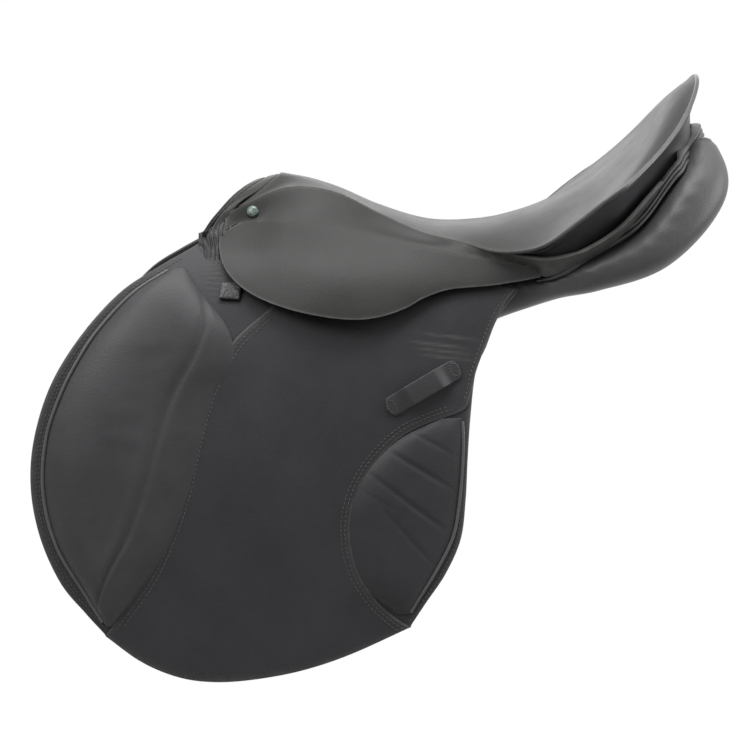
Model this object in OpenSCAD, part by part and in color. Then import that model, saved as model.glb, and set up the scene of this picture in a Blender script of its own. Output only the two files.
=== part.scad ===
// Jumping saddle: forward-cut flaps with padded knee and calf rolls, lifting skirts over stirrup
// bars with hinged catches, a sprung tree, flocked panels and swinging girth straps.
// X runs to the cantle, Y to the off side and Z up; the origin is in the gullet under the seat's dip.

/* [Seat] */
// Length of the seat in plan, from the pommel seam to the cantle tip
seat_span = 378; // [360:1:390]
// Half the width of the seat across the cantle
seat_half = 150; // [142:1:158]
// Height of the cantle tip above the gullet
seat_h = 180; // [174:1:192]
// Thickness of the seat leather
seat_leather = 3; // [2:0.1:3.5]
// Thickness of the seat foam at its middle
seat_foam_t = 12; // [8:0.5:13]
// Thickness of the webbing under the foam
seat_web_t = 1.5; // [1:0.1:2]

/* [Bend line of flap and skirt] */
// Distance of the bend line from the mid-plane, beside the seat's dip
bend_half = 98; // [95:0.5:101]
// Height of the bend line beside the seat's dip
bend_z = 23.5; // [22:0.5:26]
// Distance of the hanging leather from the mid-plane before it slopes on
side_half = 140; // [134:0.5:148]
// Depth over which the leather turns from the bend line to its hang
side_turn = 60; // [55:0.5:65]
// How far the leather draws in towards its front and rear ends
side_taper = 14; // [10:0.5:18]

/* [Flap] */
// Length of the flap from front to rear
flap_len = 420; // [400:1:440]
// Depth of the flap from its top corner to its lowest edge
flap_drop = 375; // [355:1:395]
// Distance of the flap's rear corner behind the seat's dip
flap_rear = 58; // [52:1:64]
// Height of the flap's top corner above the gullet
flap_top = 35; // [32:0.5:38]
// Thickness of the flap leather
flap_t = 5; // [4:0.1:5.5]
// How far the knee pad stands out of the flap
knee_crown = 13; // [8:0.5:16]
// How far the calf pad stands out of the flap
calf_crown = 8; // [5:0.5:10]
// Thickness of a pad at its stitched edge
pad_edge_t = 1.6; // [1:0.1:2.5]
// Width of the keeper strap
keeper_w = 18; // [14:0.5:24]
// Thickness of the keeper strap
keeper_t = 2.4; // [2:0.1:3.5]
// Height of the gap under the keeper strap
keeper_gap = 6; // [5.5:0.1:7]
// Thickness of the front tab
front_tab_t = 3; // [2:0.1:3.2]

/* [Skirt] */
// Thickness of the skirt leather
skirt_t = 4; // [3:0.1:4.2]
// How far the skirt stands off at its ends
skirt_stand = 4; // [3.5:0.1:6]
// How far the skirt bulges further over the stirrup bar
skirt_bulge = 12; // [11:0.5:16]
// Half the length of that bulge
skirt_bulge_len = 62; // [56:1:70]
// Diameter of the pommel nail's head
nail_head_d = 11.5; // [9:0.5:13]
// Height of the pommel nail's head
nail_head_h = 2.6; // [2:0.1:3.5]
// Diameter of the pommel nail's shank
nail_shank_d = 2.6; // [2:0.1:3]
// Length of the pommel nail's shank
nail_shank_len = 3; // [2:0.1:3.5]

/* [Panel] */
// Half the width of a panel cushion at its fullest section
panel_half_w = 52; // [49:0.5:54]
// Half the depth of a panel cushion at its fullest section
panel_half_h = 31; // [28:0.5:32]
// Depth of the panel's middle under the gullet at its lowest place
panel_low = 43.2; // [42:0.2:46]
// Thickness of the panel leather
panel_leather = 3; // [2:0.1:4]
// Length of the slit in a panel's top that the flocking goes in by
flock_slit_len = 46; // [40:1:60]
// Width of that slit
flock_slit_w = 6; // [4.5:0.1:8]
// Thickness of the sweat flap
sweat_t = 3.5; // [2.5:0.1:4]
// Depth of the sweat flap's top edge under the bend line
sweat_start = 62; // [60:0.5:66]
// Depth of the sweat flap's lowest point under the gullet
sweat_drop = 304; // [290:1:312]
// Radius of the piped welt on the panel's upper edge
welt_r = 3.4; // [2.5:0.1:4]
// Thickness of the leather strip along the gullet
strip_t = 2.5; // [2:0.1:3]

/* [Tree and steel] */
// Half the width of a tree rail
rail_half_w = 11; // [9:0.5:12]
// Thickness of the tree's laminated wood
tree_t = 9; // [7:0.5:9.5]
// Thickness of the steel arch under the head
arch_t = 3; // [2:0.1:4]
// Width of the steel arch
arch_w = 24; // [20:0.5:28]
// Thickness of the spring steels under the rails
spring_t = 1.5; // [1:0.1:2]
// Width of the spring steels
spring_w = 14; // [10:0.5:16]

/* [Stirrup bar] */
// Distance of the stirrup bar's outer face from the mid-plane
bar_out = 105; // [103:0.5:106]
// Height of the stirrup bar's middle above the gullet
bar_z = -4; // [-5:0.1:-3]
// Length of the stirrup bar that the leather hangs on
bar_len = 44; // [40:1:46]
// Height of the stirrup bar's section
bar_h = 12; // [10:0.5:12.5]
// Thickness of the stirrup bar's section
bar_t = 8; // [7:0.5:9]
// Gap behind the stirrup bar for the leather
bar_gap = 9; // [8.5:0.5:9.5]
// Gap between the stirrup bar and the flap's top edge
bar_clear = 3; // [2.5:0.1:4]
// Thickness of the bar's base plate
bar_plate_t = 4; // [3:0.5:4.5]
// Height of the bar's base plate
bar_plate_h = 22; // [20:0.5:23]
// Length of the bar's base plate
bar_plate_len = 72; // [68:1:74]
// Diameter of the rivets
rivet_d = 5; // [4:0.1:6]
// Length of the hinged catch's tail
catch_len = 13; // [11:0.5:14]
// Height of the hinged catch's tail
catch_h = 8; // [6:0.5:8.5]
// Thickness of the catch's tongue
tongue_t = 3.2; // [2.5:0.1:3.6]
// Diameter of the catch's pin
catch_pin_d = 3; // [2.5:0.1:3.5]

/* [Girth straps] */
// Width of a girth strap
strap_w = 25; // [22:0.5:26]
// Thickness of a girth strap
strap_t = 3.5; // [3:0.1:3.6]
// Depth of a girth strap's tip under the bend line
strap_drop = 268; // [255:1:275]
// Depth of a girth strap's top edge under the bend line
strap_start = 70; // [68:0.5:74]
// Diameter of the punched holes
strap_hole_d = 5; // [4:0.1:6]
// Distance between the punched holes
strap_hole_pitch = 25; // [22:0.5:26]
// Distance of the lowest hole from the strap's tip
strap_hole_end = 32; // [28:0.5:36]
// Thickness of the girth webs
web_t = 2; // [1.5:0.1:2.2]
// Width of the girth webs
web_w = 17; // [15:0.5:18]

/* [Fits] */
// Gap between pieces of the same body that lie on each other
seat_fit = 0.4; // [0.3:0.05:0.6]
// Gap between curved leather faces that are stitched together
sewn_fit = 0.6; // [0.5:0.05:0.8]
// Gap between layers of leather that move over each other
slide_fit = 1.8; // [1.5:0.1:2]
// Gap round the catch's pin and tongue
pin_fit = 0.2; // [0.15:0.05:0.3]

/* [Hidden] */
$fn = 40;

black = [0.10, 0.10, 0.11];
dark = [0.16, 0.16, 0.17];
wood = [0.72, 0.55, 0.36];
steel = [0.62, 0.63, 0.65];
felt = [0.82, 0.80, 0.74];

// Slopes of the bend line as it runs back: outwards and downwards
bend_splay_share = 0.223;
bend_fall_share = 0.141;
// Slope of the hanging leather, outwards as it goes down
side_slope_share = 0.14;

// Seat: middle line as shares of span and height, and its edge as shares of span, half width and height
seat_mid_shares = [[-0.413, 0.506], [-0.344, 0.478], [-0.272, 0.428], [-0.175, 0.339], [-0.05, 0.264],
                   [0.071, 0.264], [0.169, 0.308], [0.267, 0.39], [0.362, 0.518], [0.45, 0.685],
                   [0.52, 0.88], [0.587, 1]];
seat_edge_shares = [[-0.511, 0.347, 0.35], [-0.397, 0.293, 0.444], [-0.286, 0.253, 0.422],
                    [-0.175, 0.333, 0.317], [-0.079, 0.453, 0.233], [0.013, 0.613, 0.194],
                    [0.103, 0.767, 0.158], [0.19, 0.9, 0.195], [0.265, 0.97, 0.31],
                    [0.312, 0.99, 0.39], [0.347, 1, 0.445], [0.37, 1, 0.48]];
// How square the seat's section is at each of those places
seat_round_shares = [1.4, 1.4, 1.5, 1.6, 1.7, 1.7, 1.6, 1.45, 1.3, 1.2, 1.1, 1];

// Lower edge of the fixed skirt leather behind the bend line, and its upper edge, same shares as the seat
tail_top_shares = [[0.19, 0.86, 0.12], [0.264, 0.93, 0.15], [0.313, 0.95, 0.198], [0.375, 0.94, 0.295],
                   [0.447, 0.8, 0.452], [0.478, 0.72, 0.522]];
tail_low_shares = [[0.212, 0.772, 0.072], [0.265, 0.82, 0.1], [0.308, 0.85, 0.144], [0.374, 0.857, 0.238],
                   [0.438, 0.757, 0.389], [0.47, 0.71, 0.49]];

// Facing in front of the seat: seam, front roll and inner edge
facing_seam_shares = [[-0.416, 0, 0.502], [-0.451, 0.2, 0.447], [-0.507, 0.322, 0.363],
                      [-0.528, 0.377, 0.273]];
facing_roll_shares = [[-0.474, 0, 0.469], [-0.521, 0.213, 0.411], [-0.566, 0.395, 0.306],
                      [-0.594, 0.5, 0.224]];
facing_under_shares = [[-0.47, 0, 0.4], [-0.51, 0.18, 0.345], [-0.546, 0.325, 0.262], [-0.566, 0.4, 0.205]];

// Leather face under the cantle, from just below the rim to the panels: upper and lower edge
gusset_top_shares = [[0.583, 0, 0.965], [0.545, 0.4, 0.815], [0.495, 0.6, 0.69], [0.433, 0.775, 0.57],
                     [0.36, 0.955, 0.435], [0.3, 0.945, 0.345], [0.25, 0.91, 0.26]];
gusset_low_shares = [[0.586, 0, 0.76], [0.556, 0.387, 0.665], [0.5, 0.57, 0.55], [0.44, 0.685, 0.43],
                     [0.358, 0.85, 0.29], [0.3, 0.865, 0.21], [0.25, 0.85, 0.17]];

// Distance of the flap's front edge ahead of the seat's dip
flap_front = flap_len - flap_rear;

// Places of the stirrup bar: its catch's pin lies at a share of the seat's length ahead of the dip
bar_place_share = 0.254;
bar_end = bar_place_share * seat_span;
bar_mid_y = bar_out - bar_t / 2;
plate_out = bar_out - bar_t - bar_gap;
plate_in = plate_out - bar_plate_t;
bar_front = bar_end + bar_len;
plate_end = bar_end - catch_len - bar_h / 2;
plate_front = plate_end + bar_plate_len;
lug_r = bar_h / 2;
tail_start = lug_r + pin_fit + pin_fit;
bar_tail = bar_end - tail_start - catch_len;

// Flap outline as shares of its length and depth: front, foot, rear and top edge; its top corner lies
// under the pommel facing's end
flap_corner_share = max(0.319, (flap_front - 0.603 * seat_span) / flap_len);
flap_front_shares = [[flap_corner_share, 0], [0.246, 0.047], [0.167, 0.107], [0.089, 0.206], [0.029, 0.318], [-0.005, 0.442],
                     [-0.011, 0.555], [0.009, 0.667], [0.051, 0.768], [0.102, 0.835], [0.143, 0.884]];
flap_foot_shares = [[0.143, 0.884], [0.215, 0.94], [0.287, 0.973], [0.358, 0.984], [0.44, 0.979], [0.541, 0.959],
                    [0.643, 0.923], [0.765, 0.864]];
flap_rear_shares = [[0.987, 0.1], [0.945, 0.162], [0.92, 0.229], [0.899, 0.284], [0.888, 0.385], [0.882, 0.486],
                    [0.878, 0.576], [0.868, 0.666], [0.837, 0.745], [0.796, 0.812], [0.765, 0.864]];
// The top edge dips under the stirrup bar, with an ear before and behind it that follows the bend line
dip_front_share = (flap_front - bar_front - 1.2 * bar_clear) / flap_len;
dip_rear_share = (flap_front - bar_tail + 1.5 * bar_clear) / flap_len;
dip_low_share = (flap_top - bar_z + bar_h / 2 + bar_clear) / flap_drop;
ear_front_share = dip_front_share - 0.048;
ear_rear_share = dip_rear_share + 0.055;
flap_top_shares = [[flap_corner_share, 0], ear(mixed(flap_corner_share, ear_front_share, 0.43), 0.0205),
                   ear(mixed(flap_corner_share, ear_front_share, 0.72), 0.0053), ear(ear_front_share, 0.039),
                   [dip_front_share - 0.026, 0.06], [dip_front_share, dip_low_share - 0.004],
                   [mixed(dip_front_share, dip_rear_share, 0.35), dip_low_share + 0.012],
                   [mixed(dip_front_share, dip_rear_share, 0.7), dip_low_share + 0.022],
                   [dip_rear_share, dip_low_share + 0.004], [dip_rear_share + 0.022, 0.07],
                   ear(ear_rear_share, 0.018), ear(mixed(ear_rear_share, 0.987, 0.27), 0.0035),
                   ear(mixed(ear_rear_share, 0.987, 0.64), 0.0053), [0.987, 0.1]];
// Knee pad: front and rear edge at the same depths
knee_depth_shares = [0.055, 0.11, 0.19, 0.26, 0.34, 0.44, 0.56, 0.68, 0.79, 0.862];
knee_front_shares = [0.27, 0.195, 0.129, 0.088, 0.052, 0.023, 0.017, 0.043, 0.102, 0.143];
knee_rear_shares = [for (s = [0.3, 0.335, 0.391, 0.399, 0.363, 0.338, 0.31, 0.269, 0.206, 0.157])
    min(s, (flap_front - 0.49 * seat_span) / flap_len)];
// Where the knee pad's crease lies, across from front to rear
knee_crease_shares = [1.2, 1.0, 0.82, 0.72, 0.73, 0.735, 0.7, 0.61, 0.2, -0.2];
// Calf pad: front and rear edge at the same depths
calf_depth_shares = [0.392, 0.438, 0.504, 0.582, 0.661, 0.74, 0.798, 0.834];
calf_front_shares = [0.83, 0.745, 0.684, 0.649, 0.643, 0.66, 0.696, 0.741];
calf_rear_shares = [0.873, 0.873, 0.87, 0.863, 0.85, 0.815, 0.783, 0.765];
// Keeper strap: lower front end and upper rear end, as shares of the flap
keeper_low_shares = [0.724, 0.368];
keeper_high_shares = [0.862, 0.28];
// Front tab: middle and half size, as shares of the seat's length and the flap's depth
front_tab_shares = [-0.52, 0.107];
front_tab_half_shares = [0.0222, 0.017];

// Skirt: lower outline from front to rear, as shares of the seat's length and the flap's depth,
// and the matching places on the bend line as shares of the seat's length
skirt_low_shares = [[-0.538, -0.02], [-0.551, 0.012], [-0.529, 0.07], [-0.471, 0.117], [-0.379, 0.149],
                    [-0.264, 0.167], [-0.185, 0.165], [-0.119, 0.147], [-0.074, 0.125], [-0.015, 0.107],
                    [0.075, 0.099], [0.137, 0.089], [0.193, 0.078]];
skirt_start_shares = [-0.5, -0.489, -0.458, -0.402, -0.335, -0.247, -0.18, -0.119, -0.069, -0.013, 0.076,
                      0.137, 0.198];
tail_join_share = 0.106;

// Tree ring, from the head round a rail to the cantle, as shares of span, half width and height
tree_shares = [[-0.418, 0, 0.394], [-0.431, 0.17, 0.35], [-0.415, 0.29, 0.26], [-0.33, 0.36, 0.2],
               [-0.212, 0.43, 0.135], [-0.08, 0.44, 0.09], [0.053, 0.5, 0.09], [0.185, 0.64, 0.133],
               [0.304, 0.69, 0.202], [0.386, 0.62, 0.322], [0.46, 0.42, 0.492], [0.495, 0, 0.572]];
// The ring's upward lean and its width at those places
tree_lean_shares = [[-0.15, 0, 1], [-0.1, -0.3, 1], [0, -0.5, 1], [0.1, -0.5, 1], [0.2, -0.35, 1], [0.1, -0.1, 1],
                    [0, 0, 1], [-0.1, 0.1, 1], [-0.4, 0.25, 1], [-0.6, 0.3, 0.9], [-0.7, 0.2, 0.75],
                    [-0.75, 0, 0.65]];
tree_width_shares = [1.3, 1.2, 1.1, 1, 1, 1, 1, 1, 1.1, 1.2, 1.4, 1.5];
// Steel arch under the head, from its crown to a point's end
arch_shares = [[-0.423, 0, 0.333], [-0.444, 0.16, 0.294], [-0.481, 0.293, 0.216], [-0.51, 0.44, 0.111],
               [-0.526, 0.573, 0.01]];
arch_lean_shares = [[0, 0, 1], [0.1, -0.35, 0.94], [0.2, -0.6, 0.78], [0.1, -0.75, 0.65], [0, -0.86, 0.5]];

// Panel cushion: middle line as shares of span and height, half width and half depth as shares of the fullest
panel_mid_shares = [[-0.563, -0.06], [-0.52, -0.13], [-0.42, -0.22], [-0.29, -0.24], [-0.16, -0.22],
                    [0, -0.125], [0.14, -0.06], [0.229, -0.015], [0.315, 0.053], [0.457, 0.186], [0.566, 0.445],
                    [0.596, 0.68]];
panel_wide_shares = [0.4, 0.46, 0.5, 0.52, 0.54, 0.56, 0.64, 0.8, 1, 1, 0.82, 0.5];
panel_deep_shares = [0.75, 0.84, 0.84, 0.84, 0.86, 0.88, 0.62, 0.46, 0.58, 0.76, 0.82, 0.5];
// Distance of the middle line from the mid-plane behind the flap, as shares of the seat's half width
panel_out_shares = [0.38, 0.4, 0.42, 0.42, 0.44, 0.46, 0.47, 0.51, 0.59, 0.6, 0.493, 0.33];
// Squareness of the panel's section, and where on it the welt and the gullet strip lie
panel_round_share = 2.6;
panel_low_share = 0.24;
welt_angle = 35;
welt_climb = 17;
strip_angle = 126;

// Places of the girth webs along the tree ring
web_place_shares = [0.39, 0.43, 0.47];

// Layers of the side, as depths under the bend surface
flap_face = skirt_t + seat_fit;
flap_back = flap_face + flap_t;
strap_a_face = flap_back + slide_fit;
strap_a_back = strap_a_face + strap_t;
strap_b_face = strap_a_back + slide_fit;
strap_b_back = strap_b_face + strap_t;
sweat_face = strap_b_back + seat_fit + web_t + slide_fit;
sweat_back = sweat_face + sweat_t;
panel_face = sweat_back + sewn_fit;
pad_back = flap_face - sewn_fit;

// Curves, grids and solids

function mixed(a, b, t) = a + (b - a) * t;
function clamped(t) = min(max(t, 0), 1);
function unit(v) = v / norm(v);

// Smooth curve through a list of places, from 0 at the first to 1 at the last
function curve(p, t) =
    let (n = len(p) - 1, s = clamped(t) * n, i = min(floor(s), n - 1), f = s - i)
    let (b = p[i], c = p[i + 1], a = i > 0 ? p[i - 1] : 2 * b - c, d = i < n - 1 ? p[i + 2] : 2 * c - b)
    0.5 * (2 * b + (c - a) * f + (2 * a - 5 * b + 4 * c - d) * f * f + (3 * b - a - 3 * c + d) * f * f * f);

// Curve through places on the near side, the middle first, carried on to the off side; t from -1 to 1
function across(p, t) =
    let (n = len(p) - 1, off = [for (i = [n:-1:1]) [p[i][0], -p[i][1], p[i][2]]])
    curve(concat(off, p), (t + 1) / 2);

function seat_sized(s) = [s[0] * seat_span, -s[1] * seat_half, s[2] * seat_h];
function flap_x(s) = s * flap_len - flap_front;
function flap_z(s) = flap_top - s * flap_drop;
// Place on the flap's top edge, a share of its depth under the bend line
function ear(s, under) = [s, (flap_top - bend_h(flap_x(s))) / flap_drop + under];

// Sides of a grid of places, pushed along its own normals by a depth that may change from place to place
function normals(g) =
    let (m = len(g) - 1, n = len(g[0]) - 1)
    [for (i = [0:m]) [for (j = [0:n])
        unit(cross(g[min(i + 1, m)][j] - g[max(i - 1, 0)][j], g[i][min(j + 1, n)] - g[i][max(j - 1, 0)]))]];
function pushed(g, v, depth) =
    [for (i = [0:len(g) - 1]) [for (j = [0:len(g[0]) - 1]) g[i][j] + v[i][j] * depth]];

// Solid between an upper and a lower grid
module slab(upper, lower) {
    m = len(upper) - 1;
    n = len(upper[0]) - 1;
    k = (m + 1) * (n + 1);
    function at(s, i, j) = s * k + i * (n + 1) + j;
    quads = concat(
        [for (i = [0:m - 1], j = [0:n - 1]) [at(0, i, j), at(0, i, j + 1), at(0, i + 1, j + 1), at(0, i + 1, j)]],
        [for (i = [0:m - 1], j = [0:n - 1]) [at(1, i, j), at(1, i + 1, j), at(1, i + 1, j + 1), at(1, i, j + 1)]],
        [for (j = [0:n - 1]) [at(0, 0, j + 1), at(0, 0, j), at(1, 0, j), at(1, 0, j + 1)]],
        [for (j = [0:n - 1]) [at(0, m, j), at(0, m, j + 1), at(1, m, j + 1), at(1, m, j)]],
        [for (i = [0:m - 1]) [at(0, i, 0), at(0, i + 1, 0), at(1, i + 1, 0), at(1, i, 0)]],
        [for (i = [0:m - 1]) [at(0, i + 1, n), at(0, i, n), at(1, i, n), at(1, i + 1, n)]]);
    polyhedron(concat([for (r = upper) each r], [for (r = lower) each r]),
               [for (q = quads) each [[q[0], q[1], q[2]], [q[0], q[2], q[3]]]]);
}

// Solid through a row of rings that turn right-handed about the way they follow; a closed row has no ends
module tube(rings, closed = false) {
    m = len(rings);
    n = len(rings[0]);
    last = closed ? m - 1 : m - 2;
    function at(i, j) = (i % m) * n + j % n;
    ends = closed ? [] : concat(
        [for (j = [0:n - 1]) [m * n, at(0, j), at(0, j + 1)]],
        [for (j = [0:n - 1]) [m * n + 1, at(m - 1, j + 1), at(m - 1, j)]]);
    walls = [for (i = [0:last], j = [0:n - 1]) each
        [[at(i, j), at(i + 1, j), at(i + 1, j + 1)], [at(i, j), at(i + 1, j + 1), at(i, j + 1)]]];
    first_mid = [for (a = [0:2]) [for (p = rings[0]) p[a] / n] * [for (p = rings[0]) 1]];
    last_mid = [for (a = [0:2]) [for (p = rings[m - 1]) p[a] / n] * [for (p = rings[m - 1]) 1]];
    polyhedron(concat([for (r = rings) each r], closed ? [] : [first_mid, last_mid]), concat(walls, ends));
}

// Rectangular ring at a place, with its lean and its way
function flat_ring(p, way, lean, w, low, high) =
    let (side = unit(cross(lean, way)), up = unit(cross(way, side)))
    [p - side * w + up * low, p + side * w + up * low, p + side * w + up * high, p - side * w + up * high];

module both(off) {
    mirror([0, off ? 1 : 0, 0]) children();
}

// Surface that the side leathers hang on, on the near side

function bend_y(x) = bend_half + bend_splay_share * x;
function bend_h(x) = bend_z - bend_fall_share * x;
function side_y(x, z) =
    let (h = bend_h(x) - z, e = exp(-max(h, 0) / side_turn))
    let (w = side_half - side_taper * pow((x + flap_len * 0.286) / (flap_len * 0.62), 2))
    let (a = bend_y(min(max(x, -flap_len * 0.512), flap_len * 0.167)))
    a * e + w * (1 - e) + side_slope_share * h;
// A place on that surface, moved inwards by a depth along the normal
function side_at(x, z, depth) =
    let (d = side_turn * 0.01)
    let (sx = (side_y(x + d, z) - side_y(x - d, z)) / (2 * d), sz = (side_y(x, z + d) - side_y(x, z - d)) / (2 * d))
    [x, -side_y(x, z), z] + unit([sx, 1, sz]) * depth;

// How far out a layer at a depth lies at a height
function side_in(x, z, depth) = side_at(x, 2 * z - side_at(x, z, depth)[2], depth)[1];

// Seat surface: u from pommel to cantle, v from the near to the off edge

function seat_at(u, v) =
    let (c = curve(seat_mid_shares, u), e = curve(seat_edge_shares, u), q = curve(seat_round_shares, u))
    let (k = 0.3, a = (sqrt(v * v + k * k) - k) / (sqrt(1 + k * k) - k))
    [mixed(c[0], e[0], v * v) * seat_span, e[1] * v * seat_half, mixed(c[1], e[2], pow(a, q)) * seat_h];
function seat_grid(u0, u1, m, v0, n) =
    [for (i = [0:m]) [for (j = [0:n]) seat_at(mixed(u0, u1, i / m), mixed(-v0, v0, j / n))]];

module seat_cover() {
    g = seat_grid(0, 1, 20, 1, 16);
    v = normals(g);
    color(black) slab(g, pushed(g, v, -seat_leather));
}

module seat_foam() {
    g = seat_grid(0.04, 0.85, 14, 0.82, 10);
    v = normals(g);
    start = seat_leather + 2.5 * seat_fit;
    lower = [for (i = [0:14]) [for (j = [0:10])
        let (a = abs(j / 5 - 1), b = abs(i / 7 - 1))
        g[i][j] - v[i][j] * (start + seat_foam_t * (1 - 0.6 * a * a) * (1 - 0.5 * pow(b, 4)))]];
    color(felt) slab(pushed(g, v, -start), lower);
}

module seat_webs() {
    g = seat_grid(0.1, 0.84, 20, 0.3, 2);
    v = normals(g);
    start = seat_leather + seat_foam_t + 5 * seat_fit;
    color(felt) slab(pushed(g, v, -start), pushed(g, v, -start - seat_web_t));
}

// Tree ring: t from 0 at the head to 1 at the cantle on the near side

function ring_half(t) = seat_sized(curve(tree_shares, t));
function ring_lean(t) = curve(tree_lean_shares, t);
function flipped(p, off) = [p[0], off ? -p[1] : p[1], p[2]];
function ring_at(s) = s <= 1 ? ring_half(s) : flipped(ring_half(2 - s), true);
function ring_up(s) = s <= 1 ? ring_lean(s) : flipped(ring_lean(2 - s), true);
function ring_way(s) = unit(ring_at((s + 0.01) % 2) - ring_at((s + 1.99) % 2));
function ring_w(s) = rail_half_w * curve(tree_width_shares, s <= 1 ? s : 2 - s);

module tree() {
    color(wood) tube([for (i = [0:43])
        let (s = i / 22)
        flat_ring(ring_at(s), ring_way(s), ring_up(s), ring_w(s), -tree_t / 2, tree_t / 2)], closed = true);
}

module head_arch() {
    function at(t) = seat_sized(across(arch_shares, t));
    function lean(t) = across(arch_lean_shares, t);
    color(steel) tube([for (i = [-8:8])
        let (t = i / 8, way = unit(at(min(t + 0.03, 1)) - at(max(t - 0.03, -1))))
        flat_ring(at(t), way, lean(t), arch_w / 2, -arch_t / 2, arch_t / 2)]);
}

module spring_steels() {
    low = -tree_t / 2 - 1.5 * sewn_fit - spring_t;
    color(steel) for (off = [false, true]) both(off)
        tube([for (i = [9:19])
            let (s = i / 22)
            flat_ring(ring_at(s), ring_way(s), ring_up(s), spring_w / 2, low, low + spring_t)]);
}

// Panel cushion on the near side: u from the front end to the cantle, a from the outside over the top

function panel_size(u) =
    let (f = sqrt(1 - pow(1 - clamped(u / 0.08), 2)), r = sqrt(1 - pow(1 - clamped((1 - u) / 0.08), 2)))
    let (e = mixed(0.3, 1, f) * mixed(0.35, 1, r))
    [panel_half_w * curve(panel_wide_shares, u) * e, panel_half_h * curve(panel_deep_shares, u) * e];
function panel_mid(u) =
    let (p = curve(panel_mid_shares, u), x = p[0] * seat_span)
    let (z = p[1] < 0 ? p[1] / panel_low_share * panel_low : p[1] * seat_h)
    let (free = -curve(panel_out_shares, u) * seat_half)
    let (full = panel_half_w * curve(panel_wide_shares, u))
    let (high = panel_half_h * curve(panel_deep_shares, u))
    let (held = max([for (k = [[0.3, 0.983], [0.6, 0.888], [0.85, 0.664]])
        side_in(x, z + high * k[0], panel_face - 2 * sewn_fit) + full * k[1]]))
    [x, x < seat_span * 0.078 ? mixed(held, free, pow(clamped((u - 0.45) / 0.15), 2)) : free, z];
function panel_ring(u, shell, n) =
    let (c = panel_mid(u), w = panel_mid(min(u + 0.02, 1)) - panel_mid(max(u - 0.02, 0)))
    let (way = unit([w[0], 0, w[2]]), up = [-way[2], 0, way[0]], s = panel_size(u))
    [for (j = [0:n - 1])
        let (a = -360 * j / n, k = 2 / panel_round_share)
        let (y = sign(cos(a)) * pow(abs(cos(a)), k), z = sign(sin(a)) * pow(abs(sin(a)), k))
        c + [0, -1, 0] * y * (s[0] - shell) + up * z * (s[1] - shell)];

module cushion(m, n, shell, u0) {
    tube([for (i = [0:m]) panel_ring(mixed(u0, 1 - u0, i / m), shell, n)]);
}

module panel(off) {
    slit = panel_spot(0.4, 90, 0);
    color(black) both(off) difference() {
        cushion(26, 16, 0, 0);
        cushion(13, 12, panel_leather, 0.02);
        translate(slit - [flock_slit_len / 2, flock_slit_w / 2, panel_half_h * 0.3])
            cube([flock_slit_len, flock_slit_w, panel_half_h]);
    }
}

module flocking(off) {
    color(felt) both(off) cushion(13, 12, panel_leather + 2 * sewn_fit, 0.023);
}

// Place on the panel's section, at an angle from the outside over the top, moved outwards
function panel_spot(u, a, away) =
    let (c = panel_mid(u), w = panel_mid(min(u + 0.02, 1)) - panel_mid(max(u - 0.02, 0)))
    let (way = unit([w[0], 0, w[2]]), up = [-way[2], 0, way[0]], s = panel_size(u), k = 2 / panel_round_share)
    let (y = pow(abs(cos(a)), k) * sign(cos(a)), z = pow(abs(sin(a)), k) * sign(sin(a)))
    c + [0, -1, 0] * (y * s[0] + cos(a) * away) + up * (z * s[1] + sin(a) * away);

module panel_welt() {
    away = welt_r + seat_fit * 5;
    // Behind the tail's tip the lip climbs from the panel's shoulder towards its top
    function spot(u) = panel_spot(u, welt_angle + welt_climb * max(0, u - 0.8) / 0.17, away);
    color(black) for (off = [false, true]) both(off)
        tube([for (i = [0:18])
            let (u = mixed(0.64, 0.97, i / 18), p = spot(u), way = unit(spot(u + 0.01) - spot(u - 0.01)))
            let (side = unit(cross([0, 0, 1], way)), up = cross(way, side))
            [for (j = [0:7]) p + (side * cos(45 * j) + up * sin(45 * j)) * welt_r]]);
}

module gullet_strip() {
    g = [for (i = [0:16])
        let (u = mixed(0.06, 0.93, i / 16), e = panel_spot(u, strip_angle, seat_fit * 2))
        [for (j = [-2:2]) [e[0], e[1] * -j / 2, e[2]]]];
    color(dark) sheet_on(g, strip_t);
}

// Leather in front of and behind the seat

// Sheet on a grid, thickened along its normals or, with a depth below zero, against them
module sheet_on(g, depth) {
    moved = pushed(g, normals(g), depth);
    if (depth < 0) slab(g, moved);
    else slab(moved, g);
}

module pommel_facing() {
    function row(p, t) = seat_sized(across(p, -t));
    g = [for (i = [-9:9])
        let (t = i / 9, a = row(facing_seam_shares, t), b = row(facing_roll_shares, t))
        let (c = row(facing_under_shares, t))
        [a, mixed(a, b, 0.4) + (a - c) * 0.04, mixed(a, b, 0.8) + (a - c) * 0.04, b, mixed(b, c, 0.5), c]];
    color(black) sheet_on([for (r = g) [for (k = [0:5]) r[5 - k]]], -seat_leather);
}

module cantle_gusset() {
    function row(p, t) = seat_sized(across(p, -t));
    g = [for (i = [-18:18])
        let (t = i / 18, a = row(gusset_top_shares, t), b = row(gusset_low_shares, t))
        [for (k = [0:3]) mixed(b, a, k / 3)]];
    color(black) sheet_on(g, seat_leather);
}

// Skirt leather above the bend line: fixed, with its tail under the cantle

function band_top(k) =
    k < 0.5 ? let (e = curve(seat_edge_shares, mixed(0, 6 / 11, k / 0.5))) seat_sized(e)
            : seat_sized(curve(concat([seat_edge_shares[6]], tail_top_shares), (k - 0.5) / 0.5));
function band_low(k) =
    let (x = mixed(skirt_start_shares[0], tail_join_share, k / 0.5) * seat_span)
    k < 0.5 ? [x, -bend_y(x), bend_h(x)]
            : let (d = tail_join_share * seat_span)
              curve(concat([[d, -bend_y(d), bend_h(d)]], [for (s = tail_low_shares) seat_sized(s)]), (k - 0.5) / 0.5);

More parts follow.
